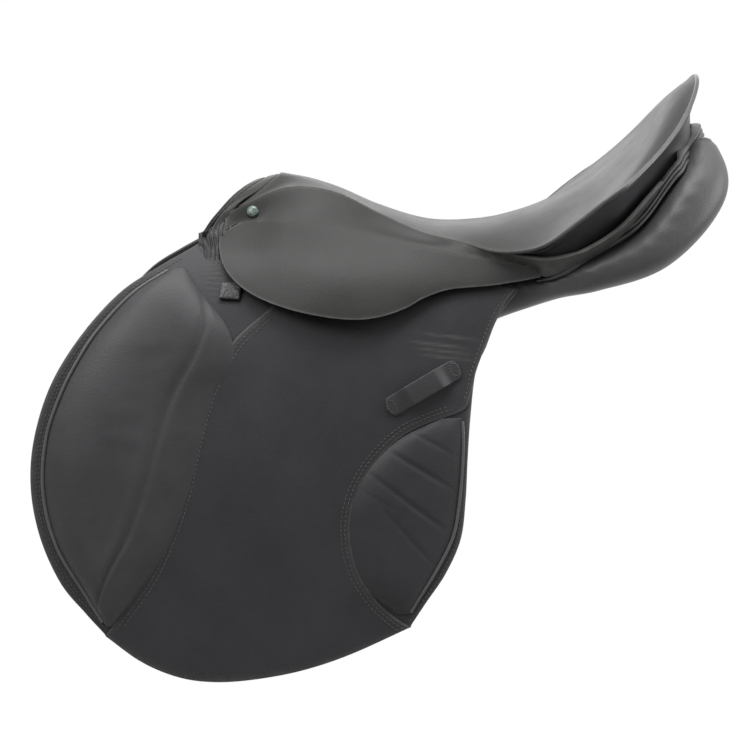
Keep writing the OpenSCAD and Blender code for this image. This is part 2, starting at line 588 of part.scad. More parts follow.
module skirt_band(off) {
    g = [for (i = [0:26])
        let (k = i / 26, a = band_top(k), b = band_low(k), d = unit(b - a) * (skirt_t * 0.9))
        let (f = b - unit(b - a) * seat_fit)
        [for (j = [0:3]) mixed(f, a + d, j / 3)]];
    v = normals(g);
    color(black) both(off) slab(g, pushed(g, v, -skirt_t));
}

module skirt(off) {
    function depth(x, z) =
        let (h = max(bend_h(x) - z, 0), b = (x + bar_end + bar_len * 0.2) / skirt_bulge_len)
        -(skirt_stand + skirt_bulge * exp(-b * b)) * (1 - exp(-h / (side_turn * 0.42)));
    g = [for (i = [0:26])
        let (t = i / 26, x = curve(skirt_start_shares, t) * seat_span, s = curve(skirt_low_shares, t))
        let (bx = s[0] * seat_span, bz = flap_z(s[1]))
        [for (j = [0:7])
            let (f = 1 - j / 7, px = mixed(x, bx, f), pz = mixed(bend_h(x), bz, f))
            side_at(px, pz, depth(px, pz))]];
    v = normals(g);
    lower = [for (i = [0:26]) [for (j = [0:7]) g[i][j] - v[i][j] * skirt_t * (j < 7 ? 1 : 0.7)]];
    color(black) both(off) slab(g, lower);
}

module pommel_nails() {
    k = 0.022;
    p = mixed(band_low(k), band_top(k), 0.5);
    way = unit(cross(band_low(k + 0.03) - band_low(k), band_top(k) - band_low(k)));
    turn = [0, acos(way[2]), atan2(way[1], way[0])];
    color(steel) for (off = [false, true]) both(off) translate(p) rotate(turn) {
        translate([0, 0, seat_fit]) rotate_extrude()
            polygon([[0, 0], [nail_head_d / 2, 0], [nail_head_d * 0.42, nail_head_h * 0.6],
                     [nail_head_d * 0.25, nail_head_h * 0.92], [0, nail_head_h]]);
        translate([0, 0, -nail_shank_len]) cylinder(d = nail_shank_d, h = nail_shank_len + seat_fit * 1.2);
    }
}

// Flap and what is sewn on it

function flap_place(s, t) =
    let (a = curve(flap_front_shares, t), b = curve(flap_rear_shares, t))
    let (c = curve(flap_top_shares, s), d = curve(flap_foot_shares, s))
    let (bl = mixed(mixed(flap_top_shares[0], flap_rear_shares[0], s),
                    mixed(flap_foot_shares[0], flap_foot_shares[7], s), t))
    mixed(a, b, s) + mixed(c, d, t) - bl;

module flap(off) {
    steps = [0, 0.05, 0.09, 0.14, 0.18, 0.22, 0.26, 0.3, 0.34, 0.37, 0.42, 0.48, 0.54, 0.6, 0.64, 0.68, 0.72,
             0.76, 0.8, 0.86, 0.92, 1];
    places = [for (s = steps) [for (j = [0:15]) flap_place(s, 1 - j / 15)]];
    function sheet(depth) = [for (r = places) [for (p = r) side_at(flap_x(p[0]), flap_z(p[1]), depth)]];
    color(black) both(off) slab(sheet(flap_face), sheet(flap_back));
}

// Pad between a front and a rear edge, with a crown over a flat back
module pad(depths, fronts, rears, creases, crown, m, n, off) {
    function spot(t, s) = [flap_x(mixed(curve(fronts, t), curve(rears, t), s)), flap_z(curve(depths, t))];
    function rise(t, s) =
        let (a = pow(abs(2 * s - 1), 3.5), b = pow(abs(2 * t - 1), 4), c = s - curve(creases, t))
        pad_edge_t + crown * (1 - a) * (1 - b) * (1 - 0.45 * exp(-c * c / 0.006));
    function sheet(flat) = [for (j = [0:n]) [for (i = [0:m])
        let (t = 1 - i / m, s = 0.5 - 0.5 * cos(180 * j / n), p = spot(t, s))
        side_at(p[0], p[1], pad_back - (flat ? 0 : rise(t, s)))]];
    color(dark) both(off) slab(sheet(false), sheet(true));
}

module knee_pad(off) {
    pad(knee_depth_shares, knee_front_shares, knee_rear_shares, knee_crease_shares, knee_crown, 18, 12, off);
}

module calf_pad(off) {
    pad(calf_depth_shares, calf_front_shares, calf_rear_shares, [for (s = calf_depth_shares) 9], calf_crown,
        11, 9, off);
}

module keeper(off) {
    a = [flap_x(keeper_low_shares[0]), flap_z(keeper_low_shares[1])];
    b = [flap_x(keeper_high_shares[0]), flap_z(keeper_high_shares[1])];
    way = unit(b - a);
    over = [-way[1], way[0]];
    function lift(t) = (keeper_gap - sewn_fit) * clamped((0.5 - abs(t - 0.5)) / 0.14 - 0.9);
    function sheet(t_plus) = [for (i = [0:12]) [for (j = [-1:1])
        let (t = i / 12, p = mixed(a, b, t) + over * j * keeper_w / 2)
        side_at(p[0], p[1], pad_back - lift(t) - t_plus)]];
    color(black) both(off) slab(sheet(keeper_t), sheet(0));
}

module front_tab(off) {
    c = front_tab_shares;
    h = front_tab_half_shares;
    function sheet(t_plus) = [for (i = [-2:2]) [for (j = [-2:2])
        side_at((c[0] + h[0] * i / 2) * seat_span, flap_z(c[1] - h[1] * j / 2), pad_back - t_plus)]];
    color(black) both(off) slab(sheet(front_tab_t), sheet(0));
}

module sweat_flap(off) {
    function sheet(depth) = [for (i = [0:13]) [for (j = [0:11])
        let (s = i / 13, f = 1 - j / 11)
        let (front = curve([-0.52, -0.6, -0.72, -0.76, -0.74, -0.66], f) * flap_len)
        let (rear = curve([0.06, 0, -0.02, -0.03, -0.06, -0.16], f) * flap_len)
        let (x = mixed(front, rear, s))
        let (foot = -sweat_drop + flap_drop * 0.16 * pow(abs(s - 0.42) / 0.58, 2.4))
        let (top = bend_h(max(x, -flap_len * 0.52)) - sweat_start)
        side_at(x, mixed(top, foot, f), depth)]];
    color(dark) both(off) slab(sheet(sweat_face), sheet(sweat_back));
}

// Stirrup bar with its block, rivets and hinged catch

module bar_block(off) {
    low = bar_z - bar_plate_h / 2;
    color(wood) both(off) tube([for (i = [5:8])
        let (s = i / 22, p = ring_at(s), way = ring_way(s), up = ring_up(s))
        let (side = unit(cross(up, way)), top = p - unit(cross(way, side)) * (tree_t / 2 + sewn_fit * 1.4))
        let (a = top + side * ring_w(s) * 0.2, b = top - side * ring_w(s))
        let (out = -(plate_in - seat_fit))
        [[p[0], out, low], [p[0], a[1], low], [p[0], a[1], a[2]], [p[0], b[1], b[2]], [p[0], out, low + bar_plate_h]]]);
}

function rivet_x() = [for (s = [0.14, 0.4, 0.62]) -mixed(plate_end, plate_front, s)];

module stirrup_bar(off) {
    color(steel) both(off) difference() {
        union() {
            translate([-plate_front, -plate_out, bar_z - bar_plate_h / 2])
                cube([bar_plate_len, bar_plate_t, bar_plate_h]);
            translate([-bar_front, -bar_out, bar_z - bar_h / 2])
                cube([bar_len, bar_t, bar_h]);
            translate([-bar_front, -bar_out, bar_z - bar_h / 2])
                cube([bar_h, bar_t + bar_gap + bar_plate_t / 2, bar_h]);
            translate([-bar_end, -bar_out, bar_z]) rotate([-90, 0, 0])
                cylinder(r = lug_r, h = bar_t);
        }
        translate([-bar_end - tail_start, -bar_mid_y - tongue_t / 2 - pin_fit, bar_z - bar_h])
            cube([bar_h * 2, tongue_t + 2 * pin_fit, bar_h * 2]);
        translate([-bar_end, -bar_out - bar_t, bar_z]) rotate([-90, 0, 0])
            cylinder(d = catch_pin_d, h = 3 * bar_t);
        for (x = rivet_x()) translate([x, -plate_out - bar_plate_t, bar_z]) rotate([-90, 0, 0])
            cylinder(d = rivet_d + pin_fit, h = 3 * bar_plate_t);
    }
}

module bar_rivets(off) {
    color(steel) both(off) for (x = rivet_x()) translate([x, -plate_out, bar_z]) rotate([90, 0, 0]) {
        translate([0, 0, -bar_plate_t - rivet_d]) cylinder(d = rivet_d, h = bar_plate_t + rivet_d);
    }
}

module bar_catch(off) {
    color(steel) both(off) translate([-bar_end, -bar_mid_y, bar_z]) difference() {
        union() {
            translate([0, -tongue_t / 2, 0]) rotate([-90, 0, 0]) cylinder(r = lug_r * 0.9, h = tongue_t);
            translate([0, -tongue_t / 2, -catch_h / 2]) cube([tail_start + catch_len / 2, tongue_t, catch_h]);
            translate([tail_start, -bar_t / 2, -catch_h / 2]) cube([catch_len - catch_h / 2, bar_t, catch_h]);
            translate([tail_start + catch_len - catch_h / 2, -bar_t / 2, 0]) rotate([-90, 0, 0])
                cylinder(d = catch_h, h = bar_t);
        }
        translate([0, -bar_t, 0]) rotate([-90, 0, 0]) cylinder(d = catch_pin_d + 2 * pin_fit, h = 2 * bar_t);
    }
}

module catch_pin(off) {
    color(steel) both(off) translate([-bar_end, -bar_out, bar_z]) rotate([-90, 0, 0])
        cylinder(d = catch_pin_d - pin_fit / 10, h = bar_t);
}

// Girth webs over the tree, and the straps sewn to their ends

function web_ring(i) = ring_at(web_place_shares[i]);
function strap_x(i) = web_ring(i)[0];
function strap_face(i) = i == 1 ? strap_a_face : strap_b_face;
// Place in the strap's side view at a depth under the bend line
function strap_spot(i, h, depth) = let (p = side_at(strap_x(i), bend_h(strap_x(i)) - h, depth)) [p[1], p[2]];

// Outline of a bent strip from its middle places and its thickness to one side
function strip_outline(p, t) =
    let (n = len(p) - 1, w = [for (i = [0:n]) unit(p[min(i + 1, n)] - p[max(i - 1, 0)])])
    concat(p, [for (i = [n:-1:0]) p[i] + [w[i][1], -w[i][0]] * t]);

module cross_strip(outline, x, w) {
    translate([x - w / 2, 0, 0]) rotate([90, 0, 90]) linear_extrude(w) polygon(outline);
}

module girth_web(i) {
    r = web_ring(i);
    up = ring_up(web_place_shares[i]);
    w = ring_w(web_place_shares[i]);
    top = r[2] + tree_t / 2 + seat_fit + w * abs(up[1]) * 0.5 + web_w * 0.3;
    back = strap_face(i) + strap_t + seat_fit;
    half_line = concat([[0, top], [r[1] + w * 0.5, top], [r[1] - w * 1.25, top - tree_t * 0.35]],
                       [for (h = [0.6, 0.8, 1, 1.25]) strap_spot(i, strap_start * h, back)]);
    line = concat([for (k = [len(half_line) - 1:-1:1]) [-half_line[k][0], half_line[k][1]]], half_line);
    color(felt) cross_strip(strip_outline(line, -web_t), strap_x(i), web_w);
}

module girth_strap(i, off) {
    face = strap_face(i);
    line = concat([for (h = [1, 1.25, 1.5, 1.8, 2.1]) strap_spot(i, strap_start * h, face)],
                  [strap_spot(i, strap_drop, face)]);
    foot = line[5];
    way = unit(foot - line[4]);
    turn = atan2(way[0], -way[1]);
    color(black) both(off) difference() {
        cross_strip(strip_outline(line, -strap_t), strap_x(i), strap_w);
        translate([strap_x(i), foot[0], foot[1]]) rotate([turn, 0, 0]) {
            for (k = [0:3]) translate([0, strap_t * 2, strap_hole_end + k * strap_hole_pitch])
                rotate([90, 0, 0]) cylinder(d = strap_hole_d, h = 4 * strap_t);
            for (e = [-1, 1]) translate([e * strap_w / 2, -strap_t * 2, 0]) rotate([0, -e * 45, 0])
                translate([-strap_w / 2, 0, -strap_w * 0.75]) cube([strap_w, 4 * strap_t, strap_w]);
        }
    }
}

seat_cover();
seat_foam();
seat_webs();
tree();
head_arch();
spring_steels();
gullet_strip();
pommel_facing();
cantle_gusset();
panel_welt();
pommel_nails();
skirt_band(false);  // skirt_band_left
skirt_band(true);  // skirt_band_right
skirt(false);  // skirt_left
skirt(true);  // skirt_right
flap(false);  // flap_left
flap(true);  // flap_right
knee_pad(false);  // knee_pad_left
knee_pad(true);  // knee_pad_right
calf_pad(false);  // calf_pad_left
calf_pad(true);  // calf_pad_right
keeper(false);  // keeper_left
keeper(true);  // keeper_right
front_tab(false);  // front_tab_left
front_tab(true);  // front_tab_right
sweat_flap(false);  // sweat_flap_left
sweat_flap(true);  // sweat_flap_right
panel(false);  // panel_left
panel(true);  // panel_right
flocking(false);  // flocking_left
flocking(true);  // flocking_right
bar_block(false);  // bar_block_left
bar_block(true);  // bar_block_right
stirrup_bar(false);  // stirrup_bar_left
stirrup_bar(true);  // stirrup_bar_right
bar_rivets(false);  // bar_rivets_left
bar_rivets(true);  // bar_rivets_right
bar_catch(false);  // bar_catch_left
bar_catch(true);  // bar_catch_right
catch_pin(false);  // catch_pin_left
catch_pin(true);  // catch_pin_right
girth_web(0);  // girth_web_front
girth_web(1);  // girth_web_middle
girth_web(2);  // girth_web_rear
girth_strap(0, false);  // girth_strap_front_left
girth_strap(1, false);  // girth_strap_middle_left
girth_strap(2, false);  // girth_strap_rear_left
girth_strap(0, true);  // girth_strap_front_right
girth_strap(1, true);  // girth_strap_middle_right
girth_strap(2, true);  // girth_strap_rear_right
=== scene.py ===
import bpy
import numpy as np
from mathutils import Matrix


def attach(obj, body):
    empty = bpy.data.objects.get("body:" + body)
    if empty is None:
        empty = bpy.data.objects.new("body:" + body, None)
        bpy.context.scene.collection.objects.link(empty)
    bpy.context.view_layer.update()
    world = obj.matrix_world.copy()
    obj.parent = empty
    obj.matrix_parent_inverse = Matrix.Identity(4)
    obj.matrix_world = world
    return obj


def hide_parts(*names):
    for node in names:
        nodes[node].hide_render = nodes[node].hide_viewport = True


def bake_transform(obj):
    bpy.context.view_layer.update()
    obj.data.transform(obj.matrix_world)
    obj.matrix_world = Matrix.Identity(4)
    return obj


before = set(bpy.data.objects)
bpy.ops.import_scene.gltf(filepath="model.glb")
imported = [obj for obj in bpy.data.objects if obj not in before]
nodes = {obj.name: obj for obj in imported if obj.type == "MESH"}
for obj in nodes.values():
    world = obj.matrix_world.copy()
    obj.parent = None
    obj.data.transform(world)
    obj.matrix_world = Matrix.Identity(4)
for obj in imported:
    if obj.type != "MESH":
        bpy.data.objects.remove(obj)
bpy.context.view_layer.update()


# Tree: beech plies pressed into a ring that gives the saddle its waist and spread.
# Two hardwood blocks under it take the stirrup bars. It is all under leather in the finished
# saddle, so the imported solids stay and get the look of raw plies.

def wire(tree, shader, inputs):
    """Sets or links the named inputs of one shader node."""
    for key, value in inputs.items():
        if isinstance(value, bpy.types.NodeSocket):
            tree.links.new(value, shader.inputs[key])
        else:
            shader.inputs[key].default_value = value


def adder(tree):
    """A function that adds one shader node to the tree, with its settings and its inputs."""
    def add(kind, inputs=None, **settings):
        """One new node of the kind, with settings as its properties."""
        shader = tree.nodes.new("ShaderNode" + kind)
        for key, value in settings.items():
            setattr(shader, key, value)
        wire(tree, shader, inputs or {})
        return shader
    return add


def new_finish(name):
    """An empty finish: its material, a function that adds a shader node, and one that sets the surface."""
    made = bpy.data.materials.new(name)
    made.use_nodes = True
    tree = made.node_tree
    surface = tree.nodes["Principled BSDF"]
    return made, adder(tree), lambda inputs: wire(tree, surface, inputs)


def shades(add, factor, dark, pale, low=0.0, high=1.0):
    """Colour between a dark and a pale tone as factor goes from low to high."""
    ramp = add("ValToRGB", {"Fac": factor})
    ramp.color_ramp.elements[0].position = low
    ramp.color_ramp.elements[1].position = high
    ramp.color_ramp.elements[0].color = (*dark, 1)
    ramp.color_ramp.elements[1].color = (*pale, 1)
    return ramp.outputs["Color"]


def spread(add, factor, first, last, low=0.0, high=1.0):
    """Number that goes from first to last as factor goes from low to high."""
    limits = {"From Min": low, "From Max": high, "To Min": first, "To Max": last}
    return add("MapRange", {"Value": factor, **limits}).outputs["Result"]


def pressed(add, height, strength, depth):
    """Normal of a surface with a height pattern pressed into it, depth in metres."""
    return add("Bump", {"Height": height, "Strength": strength, "Distance": depth}).outputs["Normal"]


def raw_beech():
    """Long grain along the saddle, crossed every 1.5 mm by the glue line of a ply."""
    made, add, surface = new_finish("raw_beech")
    place = add("TexCoord").outputs["Object"]
    drawn = add("Mapping", {"Vector": place, "Scale": (30, 260, 260)}).outputs["Vector"]
    streaks = {"Vector": drawn, "Scale": 1.0, "Detail": 6.0, "Roughness": 0.65}
    grain = add("TexNoise", streaks).outputs["Fac"]
    glue = {"Vector": place, "Scale": 210.0, "Distortion": 0.6}
    plies = add("TexWave", glue, bands_direction="Z").outputs["Fac"]
    both = add("Math", {0: grain, 1: plies}, operation="MULTIPLY").outputs["Value"]
    surface({
        "Base Color": shades(add, both, (0.24, 0.13, 0.06), (0.58, 0.4, 0.23), 0.1, 0.6),
        "Roughness": spread(add, grain, 0.5, 0.75),
        "Normal": pressed(add, grain, 0.3, 0.0004),
    })
    return made


def dress(made, *names):
    """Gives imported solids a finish."""
    for name in names:
        mesh = nodes[name].data
        mesh.materials.clear()
        mesh.materials.append(made)


dress(raw_beech(), "tree", "bar_block_left", "bar_block_right")


# Steelwork: head arch, spring steels, stirrup bars with rivets, hinged catches and pins.
# Forged and plated bar, rubbed bright along its length; riveted through the tree.

def plated_steel():
    """Fine drawn lines along the bar and cloudy dulled patches in the plating."""
    made, add, surface = new_finish("plated_steel")
    place = add("TexCoord").outputs["Object"]
    drawn = add("Mapping", {"Vector": place, "Scale": (40, 1800, 1800)}).outputs["Vector"]
    lines = add("TexNoise", {"Vector": drawn, "Scale": 1.0, "Detail": 3.0}).outputs["Fac"]
    cloud = add("TexNoise", {"Vector": place, "Scale": 45.0, "Detail": 5.0}).outputs["Fac"]
    surface({
        "Base Color": shades(add, cloud, (0.36, 0.35, 0.33), (0.62, 0.62, 0.63), 0.3, 0.65),
        "Metallic": 1.0,
        "Roughness": spread(add, cloud, 0.42, 0.26, 0.3, 0.7),
        "Normal": pressed(add, lines, 0.2, 0.0002),
    })
    return made


steel = plated_steel()
dress(steel, "head_arch", "spring_steels")
for side in ("left", "right"):
    dress(steel, *(f"{part}_{side}" for part in ("stirrup_bar", "bar_rivets", "bar_catch", "catch_pin")))


# Webs: flax webbing nailed across the tree under the seat, and the three webs that carry
# the girth straps. Woven tape, so the solids stay and the weave is in the finish.

def flax_web():
    """Plain weave: two crossed waves of yarn, 1.6 mm apart, multiplied, with slubs in the yarn. Its colour is
    darker where the weave is low, a painted shade between the yarns, and varies with the slubs.
    """
    made, add, surface = new_finish("flax_web")
    place = add("TexCoord").outputs["Object"]
    yarns = {"Vector": place, "Scale": 200.0, "Distortion": 0.4}
    warp, weft = (add("TexWave", yarns, bands_direction=way).outputs["Fac"] for way in ("X", "Y"))
    weave = add("Math", {0: warp, 1: weft}, operation="MULTIPLY").outputs["Value"]
    slub = add("TexNoise", {"Vector": place, "Scale": 160.0, "Detail": 4.0}).outputs["Fac"]
    yarn_and_gap_shade = add("Math", {0: weave, 1: slub}, operation="ADD").outputs["Value"]
    surface({
        "Base Color": shades(add, yarn_and_gap_shade, (0.3, 0.26, 0.18), (0.66, 0.61, 0.5), 0.3, 1.0),
        "Roughness": spread(add, slub, 0.8, 0.95),
        "Normal": pressed(add, weave, 0.5, 0.0005),
    })
    return made


dress(flax_web(), "seat_webs", "girth_web_front", "girth_web_middle", "girth_web_rear")


# Panels: two long leather cushions stuffed with wool flock, which lie along the horse's back.
# Soft, matt panel leather closed round the flock; laced up under the tree, full at the cantle.
# The seat's span, height and half width, in millimetres as all places are, scale its curves.

SPAN = 378
HIGH = 180
HALF = 150
BEND_HALF = 98
BEND_OPENING = 0.223
BEND_HIGH = 23.5
BEND_FALL = 0.141
BEND_FRONT_X = -215
BEND_REAR_X = 70.1
SIDE_SWING = 60
SIDE_SLOPE = 0.14
SIDE_WIDEST = 140
SIDE_BOW = 14
SIDE_MIDDLE_X = -120.12
SIDE_HALF_RUN = 260.4
PANEL_HALF_WIDTH = 52
PANEL_HALF_HEIGHT = 31
UNDER_FLAP_REAR_X = 29.5
BEHIND_UNDER_FLAP = 27.1


def through(places, t):
    """Catmull-Rom curve that passes through the places in order as t goes from 0 to 1."""
    places = np.asarray(places, float)
    flat = places.ndim == 1
    if flat:
        places = places[:, None]
    row = np.vstack([2 * places[0] - places[1], places, 2 * places[-1] - places[-2]])
    along = np.clip(t, 0, 1) * (len(places) - 1)
    i = np.minimum(along.astype(int), len(places) - 2)
    f = (along - i)[..., None]
    a, b, c, d = row[i], row[i + 1], row[i + 2], row[i + 3]
    square, cube = 2 * a - 5 * b + 4 * c - d, 3 * b - a - 3 * c + d
    made = 0.5 * (2 * b + (c - a) * f + square * f**2 + cube * f**3)
    return made[..., 0] if flat else made


def unit(v):
    """Vectors brought to length one."""
    return v / np.maximum(np.linalg.norm(v, axis=-1, keepdims=True), 1e-12)


def between(a, b, f):
    """Straight mix: a where f is 0, b where it is 1."""
    return a + (b - a) * f


def smooth(low, high, x):
    """0 below low, 1 above high, and an even S between."""
    f = np.clip((x - low) / (high - low), 0, 1)
    return f * f * (3 - 2 * f)


def crossed(a, b):
    """Two grids from two rows of values: a runs down the rows and b along the columns."""
    return np.meshgrid(a, b, indexing="ij")


def shares(rows, columns):
    """Two grids that each run evenly from 0 to 1."""
    return crossed(np.linspace(0, 1, rows), np.linspace(0, 1, columns))


def round_turn(sides):
    """Even angles round a circle, without the last."""
    return np.linspace(0, 2 * np.pi, sides, endpoint=False)


def bend_y(x):
    """Half width at the straight line where flap and skirt bend down: it opens towards the rear."""
    return BEND_HALF + BEND_OPENING * x


def bend_z(x):
    """Height of the same line: it falls towards the rear."""
    return BEND_HIGH - BEND_FALL * x


def side_y(x, z):
    """Half width of the saddle's hanging side. From the bend it swings out to a bowed width,
    by an exponential of the drop h, and a steady slope in h is added."""
    h = bend_z(x) - z
    e = np.exp(-np.maximum(h, 0) / SIDE_SWING)
    out = SIDE_WIDEST - SIDE_BOW * ((x - SIDE_MIDDLE_X) / SIDE_HALF_RUN) ** 2
    return bend_y(np.clip(x, BEND_FRONT_X, BEND_REAR_X)) * e + out * (1 - e) + SIDE_SLOPE * h


def side_at(x, z, depth):
    """Place on the near half's hanging side, pushed in along the surface's normal by depth."""
    step = 0.2
    dx = (side_y(x + step / 2, z) - side_y(x - step / 2, z)) / step
    dz = (side_y(x, z) - side_y(x, z - step)) / step
    inward = unit(np.stack([dx, np.ones_like(dx), dz], -1))
    return np.stack([x, -side_y(x, z), z], -1) + inward * np.asarray(depth)[..., None]


def side_in(x, z, depth):
    """The y of the hanging side pushed in by depth, at a height close to z."""
    return side_at(x, 2 * z - side_at(x, z, depth)[..., 2], depth)[..., 1]


def quads(rows, columns, round_rows=False):
    """Quads of a grid of rows and columns; round_rows closes each row on itself."""
    i = np.arange(rows * columns).reshape(rows, columns)
    if round_rows:
        i = np.hstack([i, i[:, :1]])
    return np.stack([i[:-1, :-1], i[1:, :-1], i[1:, 1:], i[:-1, 1:]], -1).reshape(-1, 4)


def leather(name, tone, gloss, grain, specular=0.16):
    """Dyed leather: tone mottled over hand-sized patches, a pebble grain pressed in,
    and greyer where the attribute for wear and painted light, broken up by noise, is set: real rubbing, with
    painted highlights and painted light on some pieces."""
    made, add, surface = new_finish(name)
    place = add("TexCoord").outputs["Object"]
    patches = {"Vector": place, "Scale": 16.0, "Detail": 6.0, "Roughness": 0.62}
    mottle = add("TexNoise", patches).outputs["Fac"]
    pebble = add("TexVoronoi", {"Vector": place, "Scale": 780.0}).outputs["Distance"]
    fold = add("TexNoise", {"Vector": place, "Scale": 330.0, "Detail": 4.0}).outputs["Fac"]
    height = add("Math", {0: pebble, 1: fold}, operation="ADD").outputs["Value"]
    rub_and_light = add("Attribute", attribute_name="wear_and_painted_light").outputs["Fac"]
    broken = add("TexNoise", {"Vector": place, "Scale": 120.0, "Detail": 5.0}).outputs["Fac"]
    worn_and_lit = add("Math", {0: rub_and_light, 1: broken}, operation="MULTIPLY").outputs["Value"]
    dark, pale = (tuple(share * c for c in tone) for share in (0.85, 1.17))
    tones = shades(add, mottle, dark, pale, 0.3, 0.7)
    grey = add("Mix", {0: worn_and_lit, 6: tones, 7: (0.24, 0.235, 0.225, 1)}, data_type="RGBA")
    surface({
        "Base Color": grey.outputs[2],
        "Roughness": spread(add, mottle, gloss - 0.05, gloss + 0.07, 0.3, 0.7),
        "Specular IOR Level": specular,
        "Normal": pressed(add, height, grain, 0.0004),
    })
    return made


def put(name, points, faces, made, body, stands_for=(), slot="black_leather", wear_and_painted_light=None):
    """Makes one piece from places in millimetres, rides it on its body, if it has one alone,
    and hides the solids it stands for."""
    mesh = bpy.data.meshes.new(name)
    mesh.from_pydata((np.asarray(points).reshape(-1, 3) / 1000).tolist(), [], [list(f) for f in faces])
    mesh.polygons.foreach_set("use_smooth", np.ones(len(mesh.polygons), bool))
    mesh.set_sharp_from_angle(angle=np.radians(62))
    # The per-place attribute holds real wear and, on some pieces, painted highlights and painted light.
    if wear_and_painted_light is not None:
        wear_and_light_layer = mesh.attributes.new("wear_and_painted_light", "FLOAT", "POINT")
        wear_and_light_layer.data.foreach_set("value", np.ravel(wear_and_painted_light).astype(np.float32))
    mesh.materials.append(made)
    piece = bpy.data.objects.new(name, mesh)
    bpy.context.scene.collection.objects.link(piece)
    if body:
        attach(piece, body)
    if stands_for:
        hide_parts(*stands_for)
    return piece


def pair(name, points, faces, made, body, stands_for=(), slot="black_leather", wear_and_painted_light=None):
    """The same piece on both sides: the near one as given, the off one mirrored, its faces turned round."""
    points = np.asarray(points).reshape(-1, 3)
    turned = [list(f)[::-1] for f in faces]
    return [
        put(f"{name}_{side}", points * (1, way, 1), facing, made, body.format(side),
            [n.format(side) for n in stands_for], slot, wear_and_painted_light)
        for side, way, facing in (("left", 1, faces), ("right", -1, turned))
    ]


def capped(rings):
    """Closed tube from rings of places: quads between the rings and a fan on each end."""
    rows, columns = rings.shape[:2]
    points = np.vstack([rings.reshape(-1, 3), rings[0].mean(0)[None], rings[-1].mean(0)[None]])
    k = np.arange(columns)
    after = (k + 1) % columns
    tip = rows * columns
    last = tip - columns
    start = np.stack([np.full(columns, tip), k, after], -1)
    end = np.stack([np.full(columns, tip + 1), after + last, k + last], -1)
    return points, quads(rows, columns, True).tolist() + start.tolist() + end.tolist()


def panel_middle(u):
    """Middle of the near panel's section: it runs under the tree from the points of the head to the cantle.
    Forward of the cantle it keeps just inside the under-flap, and behind that it swings free."""
    way = through([[-.563, -.06], [-.52, -.13], [-.42, -.22], [-.29, -.24], [-.16, -.22], [0, -.125],
                   [.14, -.06], [.229, -.015], [.315, .053], [.457, .186], [.566, .445], [.596, .68]], u)
    way = way * (SPAN, HIGH)
    x, z = way[..., 0], way[..., 1]
    free = -HALF * through([.38, .4, .42, .42, .44, .46, .47, .51, .59, .6, .493, .33], u)
    full, tall = panel_half(u)
    held = np.max([side_in(x, z + tall * h, BEHIND_UNDER_FLAP) + full * k
                   for h, k in ((.3, .983), (.6, .888), (.85, .664))], axis=0)
    leaving = np.clip((u - .45) / .15, 0, 1) ** 2
    return np.stack([x, np.where(x < UNDER_FLAP_REAR_X, between(held, free, leaving), free), z], -1)


def panel_half(u):
    """Half width and half height of the stuffed section."""
    return (PANEL_HALF_WIDTH * through([.4, .46, .5, .52, .54, .56, .64, .8, 1, 1, .82, .5], u),
            PANEL_HALF_HEIGHT * through([.75, .84, .84, .84, .86, .88, .62, .46, .58, .76, .82, .5], u))


def panel_at(u, angle, away):
    """Place on the panel: a squared oval round the middle, drawn in as a quarter circle at both ends
    and pushed out by away; the angle goes from the outside over the top."""
    squared, end_run = 2 / 2.6, .08
    ahead = panel_middle(np.minimum(u + .02, 1)) - panel_middle(np.maximum(u - .02, 0))
    way = unit(ahead * (1, 0, 1))
    up = np.stack([-way[..., 2], 0 * u, way[..., 0]], -1)
    ends = between(.3, 1, np.sqrt(1 - (1 - np.clip(u / end_run, 0, 1)) ** 2))
    ends = ends * between(.35, 1, np.sqrt(1 - (1 - np.clip((1 - u) / end_run, 0, 1)) ** 2))
    full, tall = panel_half(u)
    c, s = np.cos(angle), np.sin(angle)
    out = np.sign(c) * np.abs(c) ** squared * full * ends + c * away
    high = np.sign(s) * np.abs(s) ** squared * tall * ends + s * away
    return panel_middle(u) + np.stack([0 * u, -out, 0 * u], -1) + up * high[..., None]


def rounded_end(last, inside):
    """Rings that close a tube's last ring as a shallow dome, away from a ring further inside."""
    bulge = np.sin(np.linspace(0, np.pi / 2, 6))[1:, None, None]
    middle = last.mean(0)
    return middle + (last - middle) * np.sqrt(1 - bulge**2 * .97) + bulge * (last - inside).mean(0) * .2


u, angle = crossed(np.linspace(0, 1, 150), -round_turn(96))
lumps = np.sin(31 * u + 2 * np.sin(angle)) * np.sin(3 * angle + 5 * u)
flock = (lumps + np.sin(17 * u - 2 * angle)) * 0.5
gather = np.sin(210 * u + 3 * np.sin(4 * angle)) * np.exp(-((angle + 5.9) / 0.3) ** 2)
skin = panel_at(u, angle, -0.6 + 0.7 * flock + 0.5 * gather)
rings = np.concatenate([rounded_end(skin[0], skin[3])[::-1], skin, rounded_end(skin[-1], skin[-4])])
panel_leather = leather("panel_leather", (0.062, 0.062, 0.062), 0.42, 0.3, 0.22)
for piece in pair("panel", *capped(rings), panel_leather, "saddle", ["panel_{}", "flocking_{}"],
                  "panel_leather"):
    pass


# Panel welt, gullet strip and rear closing: a piped double lip sewn into the panel's upper edge under
# the cantle, the strip of leather that joins the two panels over the spine, and the sheet that closes
# the space behind the tree. The lip is firm black leather, the others panel leather, sewn edge to edge.

def cord_along(path, radius, sides=10):
    """Round piping along a path: a circle in the plane square to it."""
    way = unit(np.gradient(path, axis=0))
    level = unit(np.cross([0.0, 0.0, 1.0], way))
    up = np.cross(way, level)
    turn = round_turn(sides)
    thick = np.broadcast_to(radius, len(path))[:, None, None]
    ring = level[:, None] * np.cos(turn)[:, None] + up[:, None] * np.sin(turn)[:, None]
    return capped(path[:, None] + ring * thick)


